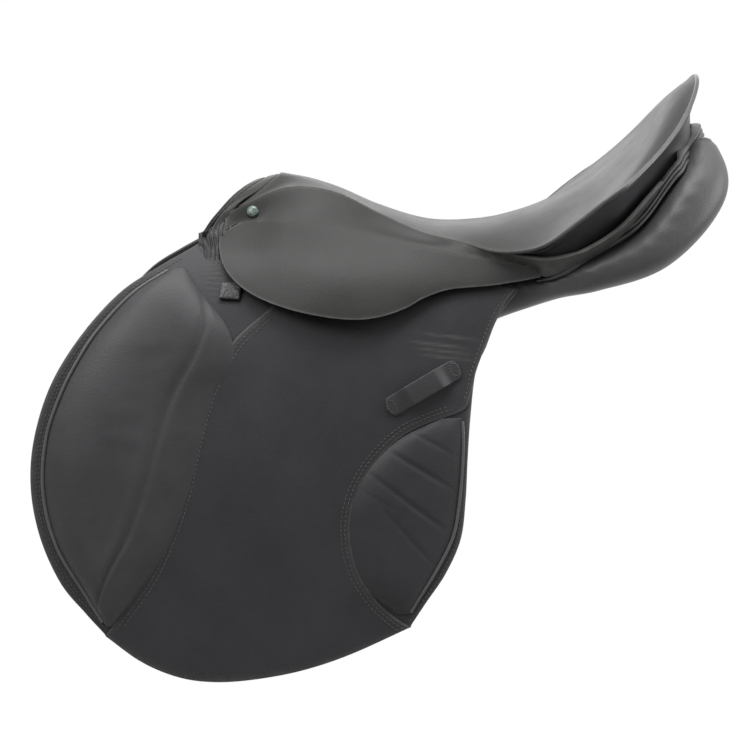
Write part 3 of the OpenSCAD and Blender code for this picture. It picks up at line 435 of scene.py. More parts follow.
def sheet_of(outer, inner, rim=4, swell=0.8):
    """Leather cut from a sheet: an outer and an inner grid closed by a rounded edge.
    The edge is half an ellipse from face to face that stands out by swell times half the thickness."""
    m, n = outer.shape[:2]
    flip = np.sum(np.cross(np.gradient(outer, axis=0), np.gradient(outer, axis=1)) * (outer - inner)) < 0
    i = np.arange(m * n).reshape(m, n)
    loop = np.concatenate([i[:-1, 0], i[-1, :-1], i[:0:-1, -1], i[0, :0:-1]])
    row, column = loop // n, loop % n
    a, b = outer.reshape(-1, 3)[loop], inner.reshape(-1, 3)[loop]
    out = unit(a - outer[np.clip(row, 1, m - 2), np.clip(column, 1, n - 2)])
    turn = np.linspace(0, np.pi, rim + 1)[1:-1, None, None]
    half = np.linalg.norm(a - b, axis=-1, keepdims=True) / 2
    ring = (a + b) / 2 + (a - b) / 2 * np.cos(turn) + out * half * swell * np.sin(turn)
    points = np.vstack([outer.reshape(-1, 3), inner.reshape(-1, 3), ring.reshape(-1, 3)])
    size = len(loop)
    middle_rows = 2 * m * n + np.arange((rim - 1) * size).reshape(rim - 1, size)
    rows = np.vstack([loop, middle_rows, loop + m * n])
    rows = np.hstack([rows, rows[:, :1]])
    edge = np.stack([rows[:-1, :-1], rows[1:, :-1], rows[1:, 1:], rows[:-1, 1:]], -1).reshape(-1, 4)
    faces = np.vstack([quads(m, n), quads(m, n)[:, ::-1] + m * n, edge])
    return points, (faces[:, ::-1] if flip else faces).tolist()


def face_normal(grid):
    """Unit normals of a grid of places."""
    return unit(np.cross(np.gradient(grid, axis=0), np.gradient(grid, axis=1)))


def edge_wear_and_highlight(grid, reach, amount, rim=4):
    """How pale a sheet is made: most on its cut edge, fading over reach millimetres of its outer face; partly
    edge wear, partly a painted highlight along the edge.
    """
    def run(axis):
        """Way along one axis of the grid to the nearer of its two ends."""
        step = np.linalg.norm(np.diff(grid, axis=axis), axis=-1)
        start = np.insert(np.cumsum(step, axis=axis), 0, 0, axis=axis)
        return np.minimum(start, np.take(start, [-1], axis=axis) - start)
    near = np.exp(-np.minimum(run(0), run(1)) / reach) * amount
    m, n = near.shape
    return np.concatenate([near.ravel(), 0 * near.ravel(), np.full((rim - 1) * 2 * (m + n - 2), amount)])


def on_face(values, rim=4, rest=0.0):
    """One value for each place of a sheet: as given on its outer grid, and rest on the others."""
    m, n = values.shape
    return np.append(values.ravel(), np.full(m * n + (rim - 1) * 2 * (m + n - 2), rest))


LIP_BACK = [[229, 0, 124], [223, -30, 118], [211, -58, 107]]
LIP_TALL = 11
LIP_END_TALL = 1.5
LIP_RIDGES = 3
LIP_LEAN = 0.25
LINING_THICK = 2.4
u = np.linspace(0.94, 0.6, 15)
turn = np.radians(35 + 100 * np.clip(u - 0.8, 0, 1))
shoulder = panel_at(u, turn, 1.0)
upslope = unit(panel_at(u, turn + 0.05, 1.0) - shoulder)
climb = between(13, -5, smooth(0.84, 0.62, u)) - 8 * smooth(0.87, 0.93, u)
lip = np.vstack([LIP_BACK, shoulder + upslope * climb[:, None]])
way, h = shares(420, 31)
foot = through(np.vstack([lip[:0:-1] * (1, -1, 1), lip]), way)
lean_x, lean_y = -LIP_LEAN * (foot[..., 0] - 90) / 130, -LIP_LEAN * foot[..., 1] / HALF
rise = unit(np.stack([lean_x, lean_y, 1 + 0 * h], -1))
out = unit(np.cross(rise, np.gradient(foot, axis=0)))
tall = LIP_TALL * smooth(0, 0.12, way) * smooth(1, 0.88, way) + LIP_END_TALL
ridges = 1.9 * np.sqrt(np.abs(np.sin(LIP_RIDGES * np.pi * np.clip(h, 0.001, 0.999)))) - 0.5
standing = foot + rise * (tall * h)[..., None]
outer = standing + out * (2.2 + ridges - 1.5 * h)[..., None]
inner = standing - out * (1.2 + 4 * smooth(0.12, 0.06, np.abs(way - 0.5)))[..., None]
black_leather = leather("black_leather", (0.034, 0.034, 0.036), 0.43, 0.3)
# The crests of the lip's three ridges are made paler: a painted highlight along each ridge.
crest_highlight = np.abs(np.sin(LIP_RIDGES * np.pi * h)) ** 3 * 0.45
put("panel_welt_piping", *sheet_of(outer, inner), black_leather, "saddle", ["panel_welt"],
    wear_and_painted_light=edge_wear_and_highlight(outer, 1.2, 0.5) + on_face(crest_highlight))

u, across = crossed(np.linspace(0.06, 0.93, 90), np.linspace(-1, 1, 41))
edge = panel_at(u, np.full_like(u, np.radians(126)), 0.8)
sag = 1.2 * np.cos(across * np.pi / 2)
strip = np.stack([edge[..., 0], -edge[..., 1] * across, edge[..., 2] - sag], -1)
put("gullet_lining", *sheet_of(strip, strip - [0, 0, LINING_THICK]), panel_leather, "saddle",
    ["gullet_strip"], "panel_leather")

v, f = crossed(np.linspace(-1, 1, 41), np.linspace(0, 1, 12))
lip_middle = foot[:, 0][np.round(210 + 45 * v).astype(int)] - [3, 0, 0]
closing = between(through(strip[-1], (v + 1) / 2), lip_middle, f[..., None])
put("rear_closing", *sheet_of(closing, closing - [1.6, 0, 0.8]), panel_leather, "saddle",
    slot="panel_leather")


# Under-flaps: the large plain flap on each side that lies between the girth straps and the horse.
# One sheet of thick panel leather, cut round in front and bowed at the foot, sewn to the panel above.

FLAP_LENGTH = 420
UNDER_FLAP_FACE = 24.4
UNDER_FLAP_BACK = 27.6
UNDER_FLAP_FRONT_X = -218.4
UNDER_FLAP_TOP = 62
UNDER_FLAP_FOOT_Z = -304
UNDER_FLAP_BOW = 60
s, t = shares(70, 90)
front = FLAP_LENGTH * through([-.52, -.6, -.72, -.76, -.74, -.66], t)
rear = FLAP_LENGTH * through([.06, 0, -.02, -.03, -.06, -.16], t)
x = between(front, rear, s)
foot = UNDER_FLAP_FOOT_Z + UNDER_FLAP_BOW * np.abs(s - .42) ** 2.4 / .58**2.4
z = between(bend_z(np.maximum(x, UNDER_FLAP_FRONT_X)) - UNDER_FLAP_TOP, foot, t)
points, faces = sheet_of(side_at(x, z, UNDER_FLAP_FACE), side_at(x, z, UNDER_FLAP_BACK))
pair("under_flap", points, faces, panel_leather, "saddle", ["sweat_flap_{}"], "panel_leather")


# Girth straps: three a side, doubled strap leather punched for the buckle and hung from the webs.
# Their cut shape is already right, so the solids stay.

dress(leather("strap_leather", (0.04, 0.036, 0.033), 0.48, 0.25),
      *(f"girth_strap_{place}_{side}" for place in ("front", "middle", "rear") for side in ("left", "right")))


# Flaps: the main leather on each side, cut forward over the knee, dipped under the stirrup bar.
# One thick sheet, edge-dyed; its front border is sewn down, and it carries pads, facing leather and keeper.
# Its edges are shares of the flap's length and depth, from its front end and its top.

FLAP_DEPTH = 375
FLAP_FRONT_X = -362
FLAP_TOP_Z = 35
FLAP_FACE = 5.6
FLAP_BACK = 9.2
PUCKER_X = -210
PUCKER_Z = 11
FLAP_FRONT = [[.31921, 0], [.246, .047], [.167, .107], [.089, .206], [.029, .318], [-.005, .442],
              [-.011, .555], [.009, .667], [.051, .768], [.102, .835], [.143, .884]]
FLAP_FOOT = [[.143, .884], [.215, .94], [.287, .973], [.358, .984], [.44, .979], [.541, .959],
             [.643, .923], [.765, .864]]
FLAP_REAR = [[.987, .1], [.945, .162], [.92, .229], [.899, .284], [.888, .385], [.882, .486],
             [.878, .576], [.868, .666], [.837, .745], [.796, .812], [.765, .864]]
FLAP_TOP = [[.31921, 0], [.3849, -.0216], [.4292, -.0310], [.47197, .0081], [.49397, .06],
            [.51997, .124], [.5796, .14], [.6391, .15], [.69021, .132], [.71221, .07],
            [.74521, .0302], [.8105, .026], [.8999, .042], [.987, .1]]


def on_flap(shares_of_flap):
    """Shares of the flap's length and depth as x and z."""
    return np.asarray(shares_of_flap) * (FLAP_LENGTH, -FLAP_DEPTH) + (FLAP_FRONT_X, FLAP_TOP_Z)


def coons(front, rear, top, foot, s, t):
    """Coons patch: each place is the sum of the two mixes of facing edges, less the mix of the corners."""
    a, b, c, d = through(front, t), through(rear, t), through(top, s), through(foot, s)
    s, t = s[..., None], t[..., None]
    corners = between(between(front[0], rear[0], s), between(foot[0], foot[-1], s), t)
    return between(a, b, s) + between(c, d, t) - corners


s, t = shares(200, 160)
flap = coons(*(on_flap(e) for e in (FLAP_FRONT, FLAP_REAR, FLAP_TOP, FLAP_FOOT)), s, t)
x, z = flap[..., 0], flap[..., 1]
bell = np.exp(-((x - PUCKER_X) / 9) ** 2 - ((z - PUCKER_Z) / 20) ** 2)
pucker = bell * np.sin((x + 0.3 * z) * 1.5) * 1.1
outer = side_at(x, z, FLAP_FACE - pucker)
flap_leather = leather("flap_leather", (0.0285, 0.0285, 0.0308), 0.44, 0.26)
pair("flap_sheet", *sheet_of(outer, side_at(x, z, FLAP_BACK)), flap_leather, "hung_flap_{}", ["flap_{}"],
     wear_and_painted_light=edge_wear_and_highlight(outer, 2.2, 0.3))


# Facing leather: a second, finer skin over the middle of the flap. Its turned edge lies over the
# knee pad's rear and the calf pad's front, held there by two rows of stitches.

FACING_FACE = 4.1
FACING_BACK = 5.5
FACING_FRONT = [[-138, 4], [-158, -16], [-177, -32], [-190, -44], [-200, -58], [-209, -75], [-216, -92],
                [-222, -112], [-229, -141], [-237, -176], [-249, -211], [-268, -250], [-301.9, -296.5]]
FACING_REAR = [[50.5, -3.5], [42, -14.5], [33, -31], [24.5, -51], [16.5, -72], [11.5, -92], [5, -105],
               [-23, -115], [-49, -128], [-74, -153], [-89, -183], [-92, -213], [-85, -242], [-70, -265],
               [-53, -281], [-40.7, -289]]
FACING_TOP = [[-138, 4], [-100, -4], [-50, 0], [-10, 4], [28, 2], [50.5, -3.5]]
SCUFFS = ((-6, -42), (-16, -50), (-12, -55), (-8, -60))
SCUFF_HALF_WIDTH = 1.1
SCUFF_REACH = 22
s, t = shares(150, 190)
edges = (np.array(e) for e in (FACING_FRONT, FACING_REAR, FACING_TOP))
skin = coons(*edges, on_flap(FLAP_FOOT), s, t)
x, z = skin[..., 0], skin[..., 1]
waves = 0.35 * np.sin(x / 23 + 1.3 * np.sin(z / 37)) * np.sin(z / 29 + x / 61)
slack = waves * np.sin(np.pi * s) * np.sin(np.pi * t)
outer = side_at(x, z, FACING_FACE - slack)
slant = 0.12 * (x + 14)
scuffs = sum(0.3 * np.exp(-(((z - z0 + slant) / SCUFF_HALF_WIDTH) ** 2) - ((x - x0) / SCUFF_REACH) ** 4)
             for x0, z0 in SCUFFS)
pair("flap_facing", *sheet_of(outer, side_at(x, z, FACING_BACK)), flap_leather, "hung_flap_{}",
     wear_and_painted_light=edge_wear_and_highlight(outer, 1.6, 0.35) + on_face(scuffs))


# Knee pads: soft leather over a foam block, thickest in front of the knee, creased where block meets pad.
# A piped front edge stands inside the flap's stitched border; the rear edge runs under the facing leather.
# Each list holds shares of the flap: depths down the pad, then its front and its rear edge at them.

KNEE = ([.055, .11, .19, .26, .34, .44, .56, .68, .79, .862],
        [.27, .195, .129, .088, .052, .023, .017, .043, .102, .143],
        [.3, .335, .391, .402, .366, .341, .313, .272, .209, .157])
KNEE_RISE = 12.5
KNEE_PIPING_RADIUS = 1.8
PAD_FOOT = 4.6
PAD_BACK = 5.5
PAD_SEAM_RISE = 0.4


def pad_places(depth, front, rear, s, t):
    """x and z on a pad, s from its front to its rear edge and t down it."""
    share = between(through(front, t), through(rear, t), s)
    return on_flap(np.stack([share, through(depth, t)], -1))


def pad_grid(across, down):
    """The s and t of a pad's grid, with s drawn together towards both edges by a cosine."""
    return crossed(0.5 - 0.5 * np.cos(np.linspace(0, np.pi, across)), np.linspace(0, 1, down))


def on_side(spot, depth):
    """Places on the hanging side at rows of x and z."""
    return side_at(spot[..., 0], spot[..., 1], depth)


def border(s, t):
    """True on the outermost places of a pad's grid, which are sewn down."""
    return (s < 0.004) | (s > 0.996) | (t < 0.004) | (t > 0.996)


def blown(grid, held, limit, force):
    """Leather on stuffing: Blender's cloth swollen from behind for some frames.
    Places that are held stay, and no other place moves further than limit, in millimetres."""
    frames, stretch, bending, weight = 20, 20, 8, 0.2
    m, n = grid.shape[:2]
    mesh = bpy.data.meshes.new("swelling")
    mesh.from_pydata((grid.reshape(-1, 3) / 1000).tolist(), [], quads(m, n).tolist())
    cover = bpy.data.objects.new("swelling", mesh)
    bpy.context.scene.collection.objects.link(cover)
    sewn = cover.vertex_groups.new(name="sewn")
    sewn.add(np.flatnonzero(held).tolist(), 1.0, "REPLACE")
    cloth = cover.modifiers.new("cloth", "CLOTH")
    cloth.settings.vertex_group_mass = "sewn"
    cloth.settings.use_pressure = True
    cloth.settings.uniform_pressure_force = force
    cloth.settings.quality = 6
    cloth.settings.mass = weight
    cloth.settings.tension_stiffness = stretch
    cloth.settings.compression_stiffness = stretch
    cloth.settings.bending_stiffness = bending
    cloth.settings.effector_weights.gravity = 0
    cloth.point_cache.frame_end = frames
    for frame_number in range(1, frames + 1):
        bpy.context.scene.frame_set(frame_number)
    swollen = cover.evaluated_get(bpy.context.evaluated_depsgraph_get()).to_mesh()
    places = np.empty(m * n * 3, np.float32)
    swollen.vertices.foreach_get("co", places)
    bpy.context.scene.frame_set(1)
    bpy.data.objects.remove(cover)
    moved = places.reshape(m, n, 3) * 1000.0 - grid
    far = np.linalg.norm(moved, axis=-1, keepdims=True)
    return grid + moved * np.minimum(1, limit / np.maximum(far, 1e-6))


s, t = pad_grid(90, 150)
spot = pad_places(*KNEE, s, t)
fold = through([1.2, 1, .82, .74, .73, .715, .69, .6, .3, -.2], t)
crease = np.exp(-((s - fold) / 0.035) ** 2)
crown = (1 - np.abs(2 * s - 1) ** 3) * np.sqrt(smooth(-0.02, 0.3, t) * smooth(1.01, 0.82, t))
rise = PAD_SEAM_RISE + KNEE_RISE * crown * (1 - 0.17 * crease - 0.12 * smooth(-0.12, 0.2, s - fold))
outer = blown(on_side(spot, PAD_FOOT - rise), border(s, t) | (crease > 0.93), limit=1.4, force=1.5)
pad_leather = leather("pad_leather", (0.042, 0.042, 0.044), 0.4, 0.3)
for piece in pair("knee_pad_cover", *sheet_of(outer, on_side(spot, PAD_BACK), swell=0.3), pad_leather,
                  "hung_flap_{}", ["knee_pad_{}"], "pad_leather"):
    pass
line = pad_places(*KNEE, np.full(160, -0.012), np.linspace(0.01, 0.985, 160))
# The piping's leather is paler than the rest: a painted highlight along the cords.
piping_highlight_leather = leather("piping_highlight_leather", (0.07, 0.07, 0.07), 0.34, 0.2, 0.3)
pair("knee_piping", *cord_along(on_side(line, 4.2), KNEE_PIPING_RADIUS), piping_highlight_leather, "hung_flap_{}")


# Calf pads: a thinner pad behind the leg, of the flap's leather over soft foam, wrinkled across by use.
# Its front edge is sewn under the facing leather, and its rear edge is piped.
# Each wrinkle has its middle, its slope, its width, its reach and its depth.

CALF = ([.392, .438, .504, .582, .661, .74, .798, .834],
        [.83, .745, .684, .649, .643, .66, .696, .741],
        [.873, .873, .87, .863, .85, .815, .783, .765])
WRINKLES = ((-30, -128, .55, 2, 26, 1.1), (-40, -150, .6, 2.2, 36, 1.5), (-48, -178, .75, 2.2, 44, 1.5),
            (-72, -178, .6, 1.8, 14, .7), (-42, -212, 1.1, 2, 24, 1.0))
CALF_RISE = 7.6
CALF_PIPING_RADIUS = 1.5
s, t = pad_grid(80, 130)
spot = pad_places(*CALF, s, t)
x, z = spot[..., 0], spot[..., 1]
crown = (1 - np.abs(2 * s - 1) ** 2.6) * (1 - np.abs(2 * t - 1) ** 3.5)
folds = sum(deep * np.exp(-((z - z0 + slope * (x - x0)) / wide) ** 2) * np.exp(-((x - x0) / reach) ** 4)
            for x0, z0, slope, wide, reach, deep in WRINKLES)
rise = PAD_SEAM_RISE + CALF_RISE * crown - folds * crown
outer = blown(on_side(spot, PAD_FOOT - rise), border(s, t), limit=0.8, force=1.5)
for piece in pair("calf_pad_cover", *sheet_of(outer, on_side(spot, PAD_BACK), swell=0.3), flap_leather,
                  "hung_flap_{}", ["calf_pad_{}"], "pad_leather"):
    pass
line = pad_places(*CALF, np.full(120, 1.02), np.linspace(0.02, 0.985, 120))
pair("calf_piping", *cord_along(on_side(line, 4.5), CALF_PIPING_RADIUS), piping_highlight_leather, "hung_flap_{}")


# Stitching: the seams that hold border, facing leather and pads down on the flap.
# Waxed black thread, six or seven stitches to the inch, each drawn down at its ends into the leather.

def joined(*made):
    """Several meshes as one: places in a row, faces renumbered."""
    shift = np.cumsum([0] + [len(p) for p, f in made])
    faces = [[v + s for v in face] for (p, f), s in zip(made, shift) for face in f]
    return np.vstack([p for p, f in made]), faces


def stitch_row(path, normal, pitch=3.9, thread=0.42):
    """Stitches along a path, each a grain of thread on the leather: a spindle of three rings, two points."""
    sides = 6
    step = np.insert(np.cumsum(np.linalg.norm(np.diff(path, axis=0), axis=1)), 0, 0)
    at = np.arange(pitch / 2, step[-1], pitch)
    middle = np.stack([np.interp(at, step, path[:, k]) for k in range(3)], -1)
    up = unit(np.stack([np.interp(at, step, normal[:, k]) for k in range(3)], -1))
    way = unit(np.stack([np.interp(at, step, np.gradient(path[:, k], step)) for k in range(3)], -1))
    aside = np.cross(way, up)
    turn = round_turn(sides)
    length, wide = (np.repeat(v, sides) for v in ((-.3, 0, .3), (.8, 1, .8)))
    level, high = (np.tile(wave, 3) * wide * thread for wave in (np.cos(turn), np.sin(turn)))
    rings = np.stack([length * pitch, level, high], -1)
    grain = np.concatenate([rings, [[-.43 * pitch, 0, -.1], [.43 * pitch, 0, -.1]]])
    points = middle[:, None] + grain[:, :1] * way[:, None]
    points = points + grain[:, 1:2] * aside[:, None] + grain[:, 2:] * up[:, None]
    one = capped(rings.reshape(3, sides, 3))[1]
    faces = [[v + len(grain) * i for v in f] for i in range(len(at)) for f in one]
    return points.reshape(-1, 3), faces


def row_on_side(line, aside, depth):
    """Stitch row on the hanging side, moved aside from a line of x and z, square to its way."""
    way = unit(np.gradient(line, axis=0))
    line = line + np.stack([-way[:, 1], way[:, 0]], -1) * aside
    path = on_side(line, depth)
    return stitch_row(path, unit(path - on_side(line, depth + 1.0)))


def waxed_thread():
    """Two-ply twist, banded from dark to a touch paler than the leather along the twist: painted highlight on
    each ply's crest, painted shade in the groove between.
    """
    made, add, surface = new_finish("waxed_thread")
    place = add("TexCoord").outputs["Object"]
    plies = {"Vector": place, "Scale": 900.0, "Distortion": 1.5}
    twist = add("TexWave", plies, bands_direction="DIAGONAL").outputs["Fac"]
    surface({
        "Base Color": shades(add, twist, (0.022, 0.022, 0.022), (0.06, 0.059, 0.057)),
        "Roughness": spread(add, twist, 0.5, 0.7),
    })
    return made


ON_FLAP = 5.5
ON_FACING = 4.05
thread = waxed_thread()
f = np.linspace(0, 1, 400)
front, rear = (through(on_flap(e), f) for e in (FLAP_FRONT, FLAP_REAR))
seam, back = through(FACING_FRONT, f), through(FACING_REAR, f)
rows = [row_on_side(line, aside, depth) for line, aside, depth in (
    (front[18:392], 4.2, ON_FLAP), (front[30:392], 7.0, ON_FLAP),
    (seam[40:394], 4.0, ON_FACING), (seam[40:392], 7.6, ON_FACING),
    (back[6:146], -3.6, ON_FACING), (back[168:392], -4.0, ON_FACING), (back[172:388], -7.4, ON_FACING),
    (rear[170:392], -2.6, ON_FLAP))]
pair("flap_stitching", *joined(*rows), thread, "hung_flap_{}")


# Keeper: a loop of strap leather that holds the end of a strap passed under it.
# Cut with round ends, arched over the gap, and sewn flat to the flap at each end with a ring of stitches.

KEEPER_FOOT = 3.7
KEEPER_LIFT = 5.4
KEEPER_THICK = 2.2
KEEPER_HALF = 8
STITCH_RING_SHARE = 0.055
STITCH_RING_HALF = 5.6
a, b = on_flap([.724, .368]), on_flap([.862, .28])
way = unit(b - a)
over = np.array([-way[1], way[0]])
f, c = crossed(np.linspace(-0.035, 1.035, 70), np.linspace(-1, 1, 17))
past = np.clip(np.abs(f - 0.5) - 0.455, 0, 0.08) / 0.08
ends = np.sqrt(np.clip(1 - past**2, 0.02, 1))
flat = a + (b - a) * f[..., None] + over * (c * KEEPER_HALF * ends)[..., None]
lift = KEEPER_LIFT * smooth(0.9, 2.2, (0.5 - np.abs(f - 0.5)) / 0.14)
base = KEEPER_FOOT - lift
domed = 0.35 * (1 - c**2)
pair("keeper_loop", *sheet_of(on_side(flat, base - KEEPER_THICK - domed), on_side(flat, base)),
     black_leather, "hung_flap_{}", ["keeper_{}"])
turn = np.linspace(0, 2 * np.pi, 60)
marks = []
for end in (0.035, 0.965):
    along = (end + STITCH_RING_SHARE * np.cos(turn))[:, None]
    ring = a + (b - a) * along + over * (STITCH_RING_HALF * np.sin(turn))[:, None]
    up = unit(on_side(ring, 0.0) - on_side(ring, 1.0))
    marks.append(stitch_row(on_side(ring, 1.25), up, pitch=2.8))
pair("keeper_stitching", *joined(*marks), thread, "hung_flap_{}")


# Front tabs: a small square of leather that takes the strain where the flap's corner meets the skirt.
# Sewn on all round, so its edges draw down; its face is rubbed pale in specks.

TAB_X = -196.6
TAB_Z = -5.1
TAB_HALF_LENGTH = 8.2
TAB_HALF_HEIGHT = 6.2
TAB_FACE = 1.0
TAB_BACK = 4.0
i, j = crossed(np.linspace(-1, 1, 25), np.linspace(-1, 1, 21))
corner = np.clip(np.maximum(np.abs(i), np.abs(j)), 0, 1)
x = TAB_X + TAB_HALF_LENGTH * i + 0.8 * j
z = TAB_Z + TAB_HALF_HEIGHT * j - 0.4 * i
outer = side_at(x, z, TAB_FACE + 0.5 * corner**6)
specks = 0.8 * (np.random.default_rng(5).random(i.shape) > 0.6)
pair("corner_tab", *sheet_of(outer, side_at(x, z, TAB_BACK)), black_leather, "hung_flap_{}",
     ["front_tab_{}"], wear_and_painted_light=on_face(specks))


# Skirts: the small upper flap over the stirrup bar. Firm leather, blocked over the bar's bulge,
# skived thin and creased along its lower edge; it bends up along the same line as the flap.

BAR_X = -104.8
BAR_REACH = 62
BAR_BULGE = 12
SKIRT_STAND = 4
SKIRT_EASE = 30
SKIRT_LOW = [[-.538, -.02], [-.551, .012], [-.529, .07], [-.471, .117], [-.379, .149], [-.264, .167],
             [-.185, .165], [-.119, .147], [-.074, .125], [-.015, .107], [.075, .099], [.137, .089],
             [.193, .078]]
SKIRT_START = [-.5, -.489, -.458, -.402, -.335, -.247, -.18, -.119, -.069, -.013, .076, .137, .198]


def skirt_bulge(x, hang):
    """How far the skirt is blocked outwards, as a negative depth: a bell over the stirrup bar on a steady
    stand, which grows below the bend from a share, more behind the front corner, to the whole."""
    start = 0.55 * smooth(-192, -150, x)
    whole = SKIRT_STAND + BAR_BULGE * np.exp(-(((x - BAR_X) / BAR_REACH) ** 2))
    return -whole * (1 - (1 - start) * np.exp(-((hang / SKIRT_EASE) ** 2)))


t, f = shares(190, 70)
top = SPAN * through(SKIRT_START, t)
low = through(SKIRT_LOW, t)
low_x, low_z = low[..., 0] * SPAN, FLAP_TOP_Z - FLAP_DEPTH * low[..., 1]
x = between(top, low_x, f)
z = between(bend_z(top), low_z, f) - f**2 * 6 * np.exp(-(((x - BAR_X) / 70) ** 2))
bulge = skirt_bulge(x, np.maximum(bend_z(x) - z, 0))
to_edge = (1 - f) * np.linalg.norm(np.stack([low_x - top, low_z - bend_z(top)], -1), axis=-1)
thick = between(between(2.8, 3.8, smooth(0, 0.2, f)), 2.1, smooth(14, 0, to_edge))
outer = side_at(x, z, bulge + 0.5 * np.exp(-to_edge / 2.5))
inner = side_at(x, z, bulge + thick)
skirt_leather = leather("skirt_leather", (0.0215, 0.0215, 0.0208), 0.43, 0.2)
# The skirt's cut edge is made paler: partly wear, partly a painted highlight along the edge.
pair("skirt_sheet", *sheet_of(outer, inner, 2, 0), skirt_leather, "lifting_skirt_{}", ["skirt_{}"],
     wear_and_painted_light=edge_wear_and_highlight(outer, 0.9, 0.6, 2) * on_face(smooth(0, 0.05, f), 2, 1.0))


# Skirt band and tail: the skirt's leather above the bend line, drawn up to the seat's edge and
# running back under the cantle as a narrow pointed tail.
# Its curves, like the seat's, are shares of the seat's span, half width and height.

SEAT_EDGE = [[-.511, .347, .35], [-.397, .293, .444], [-.286, .253, .422], [-.175, .333, .317],
             [-.079, .453, .233], [.013, .613, .194], [.103, .767, .158], [.19, .9, .195],
             [.265, .97, .31], [.312, .99, .39], [.347, 1, .445], [.37, 1, .48]]
TAIL_TOP = [[.19, .86, .12], [.264, .93, .15], [.313, .95, .198], [.375, .94, .29], [.447, .8, .435],
            [.478, .72, .494]]
TAIL_LOW = [[.176, .764, .083], [.19, .77, .048], [.212, .79, .036], [.265, .835, .072],
            [.308, .86, .125], [.374, .857, .234], [.438, .757, .378], [.47, .71, .464]]
TAIL_JOIN = 0.106
BAND_FRONT_LOW = [-203.4, -66.6, 42.3]
BAND_FRONT_HIGH = [-205, -55.5, 57]
BAND_THICK = 3.2
seat_size = np.array([SPAN, -HALF, HIGH])


def band_edges(k):
    """Upper edge under the seat's rim and lower edge on the bend line, then both along the tail."""
    join = TAIL_JOIN * SPAN
    first = np.clip(k / 0.5, 0, 1)
    second = np.clip((k - 0.5) / 0.5, 0, 1)
    x = between(-0.5, TAIL_JOIN, first) * SPAN
    bend = np.stack([x, -bend_y(x), bend_z(x)], -1)
    late = (k >= 0.5)[..., None]
    tail_top = through([SEAT_EDGE[6]] + TAIL_TOP, second)
    high = np.where(late, tail_top, through(SEAT_EDGE, first * 6 / 11)) * seat_size
    turn = side_at(np.array(join), bend_z(join), skirt_bulge(join, 0.0))
    ends = np.vstack([turn, np.array(TAIL_LOW) * seat_size])
    return high, np.where(late, through(ends, second), bend)


k, f = shares(300, 36)
high, low = band_edges(k)
front = smooth(0.03, 0, k)[..., None]
low = between(low, np.array(BAND_FRONT_LOW), front)
high = between(high, np.array(BAND_FRONT_HIGH), front)
down = unit(low - high)
high = high + down * between(0.6, -1.0, smooth(0.5, 0.6, k))[..., None]
tip = 1 - np.sqrt(1 - np.clip((k - 0.955) / 0.046, 0, 1) ** 2)[..., None]
low, high = between(low, (low + high) / 2, tip), between(high, (low + high) / 2, tip)
bend = bend_z(low[..., 0])
blocked = side_at(low[..., 0], bend, skirt_bulge(low[..., 0], 0 * k))
under = side_at(low[..., 0], bend - 1.5, skirt_bulge(low[..., 0], 1.5 + 0 * k))
on_bend = (smooth(0.505, 0.495, k) * smooth(0, 0.03, k))[..., None]
low = between(low, blocked, on_bend)
slope = unit(blocked - under) * np.linalg.norm(high - low, axis=-1, keepdims=True)
straight = np.maximum(smooth(0.42, 0.55, k), smooth(0.05, 0.0, k))[..., None]
slope = between(slope, high - low, straight)
e = f[..., None]
outer = between(low, high, e) + e * (1 - e) ** 2 * (slope - (high - low))
normal = face_normal(outer)
normal = normal * np.sign(-normal[..., 1:2] + 0.3 * normal[..., 2:])
puff = 1.6 * np.sin(np.pi * f) * smooth(0.5, 0.6, k) * smooth(1, 0.9, k)
outer = outer + normal * puff[..., None]
above_bend = on_face(smooth(0, 0.1, f + smooth(0.5, 0.52, k)), 2, 1.0)
# The tail is made paler towards its end: painted light that lifts it out of the seat's overhanging shadow.
tail_painted_light = on_face(0.22 * smooth(0.38, 0.5, k), 2)
pair("skirt_band_leather", *sheet_of(outer, outer - normal * BAND_THICK, 2, 0), skirt_leather, "saddle",
     ["skirt_band_{}"], wear_and_painted_light=edge_wear_and_highlight(outer, 1.0, 0.35, 2) * above_bend + tail_painted_light)


# Pommel facing: the band of skirt leather in front of the seat. Seamed to the seat, rolled over the
# head of the tree and tacked under it, so it creases along its length and crumples at its ends.

def mirrored(places, t):
    """Curve over the middle of the saddle: the near half's places and their mirror images, t from -1 to 1."""
    places = np.asarray(places, float)
    return through(np.vstack([places[:0:-1] * (1, -1, 1), places]), (t + 1) / 2) * seat_size


FACING_SEAM = [[-.416, 0, .502], [-.451, .2, .447], [-.507, .322, .363], [-.528, .377, .273]]
FACING_ROLL = [[-.474, 0, .469], [-.521, .213, .411], [-.566, .395, .306], [-.594, .5, .224]]
FACING_UNDER = [[-.47, 0, .4], [-.51, .18, .345], [-.546, .325, .262], [-.566, .4, .205]]
FACING_ROWS = 61
FACING_COLUMNS = 121
HEAD_MIDDLE = [-160, 0, 20]
COVER_THICK = 2.8
t = np.linspace(-1, 1, FACING_COLUMNS)
seam, roll, under = (mirrored(p, t) for p in (FACING_SEAM, FACING_ROLL, FACING_UNDER))
crown = (seam - under) * .04
rows = np.stack([seam, between(seam, roll, .4) + crown, between(seam, roll, .8) + crown,
                 roll, between(roll, under, .5), under])
outer = through(rows.reshape(6, -1), np.linspace(0, 1, FACING_ROWS)).reshape(FACING_ROWS, FACING_COLUMNS, 3)
normal = face_normal(outer)
normal = normal * np.sign(np.sum(normal * (outer - HEAD_MIDDLE), axis=-1, keepdims=True))
r, end = crossed(np.linspace(0, 1, FACING_ROWS), np.abs(t))
long_fold = -1.5 * np.exp(-((r - 0.33 - 0.05 * end) / 0.022) ** 2)
short_fold = 0.9 * np.exp(-((r - 0.47) / 0.02) ** 2) * smooth(0.2, 0.5, end)
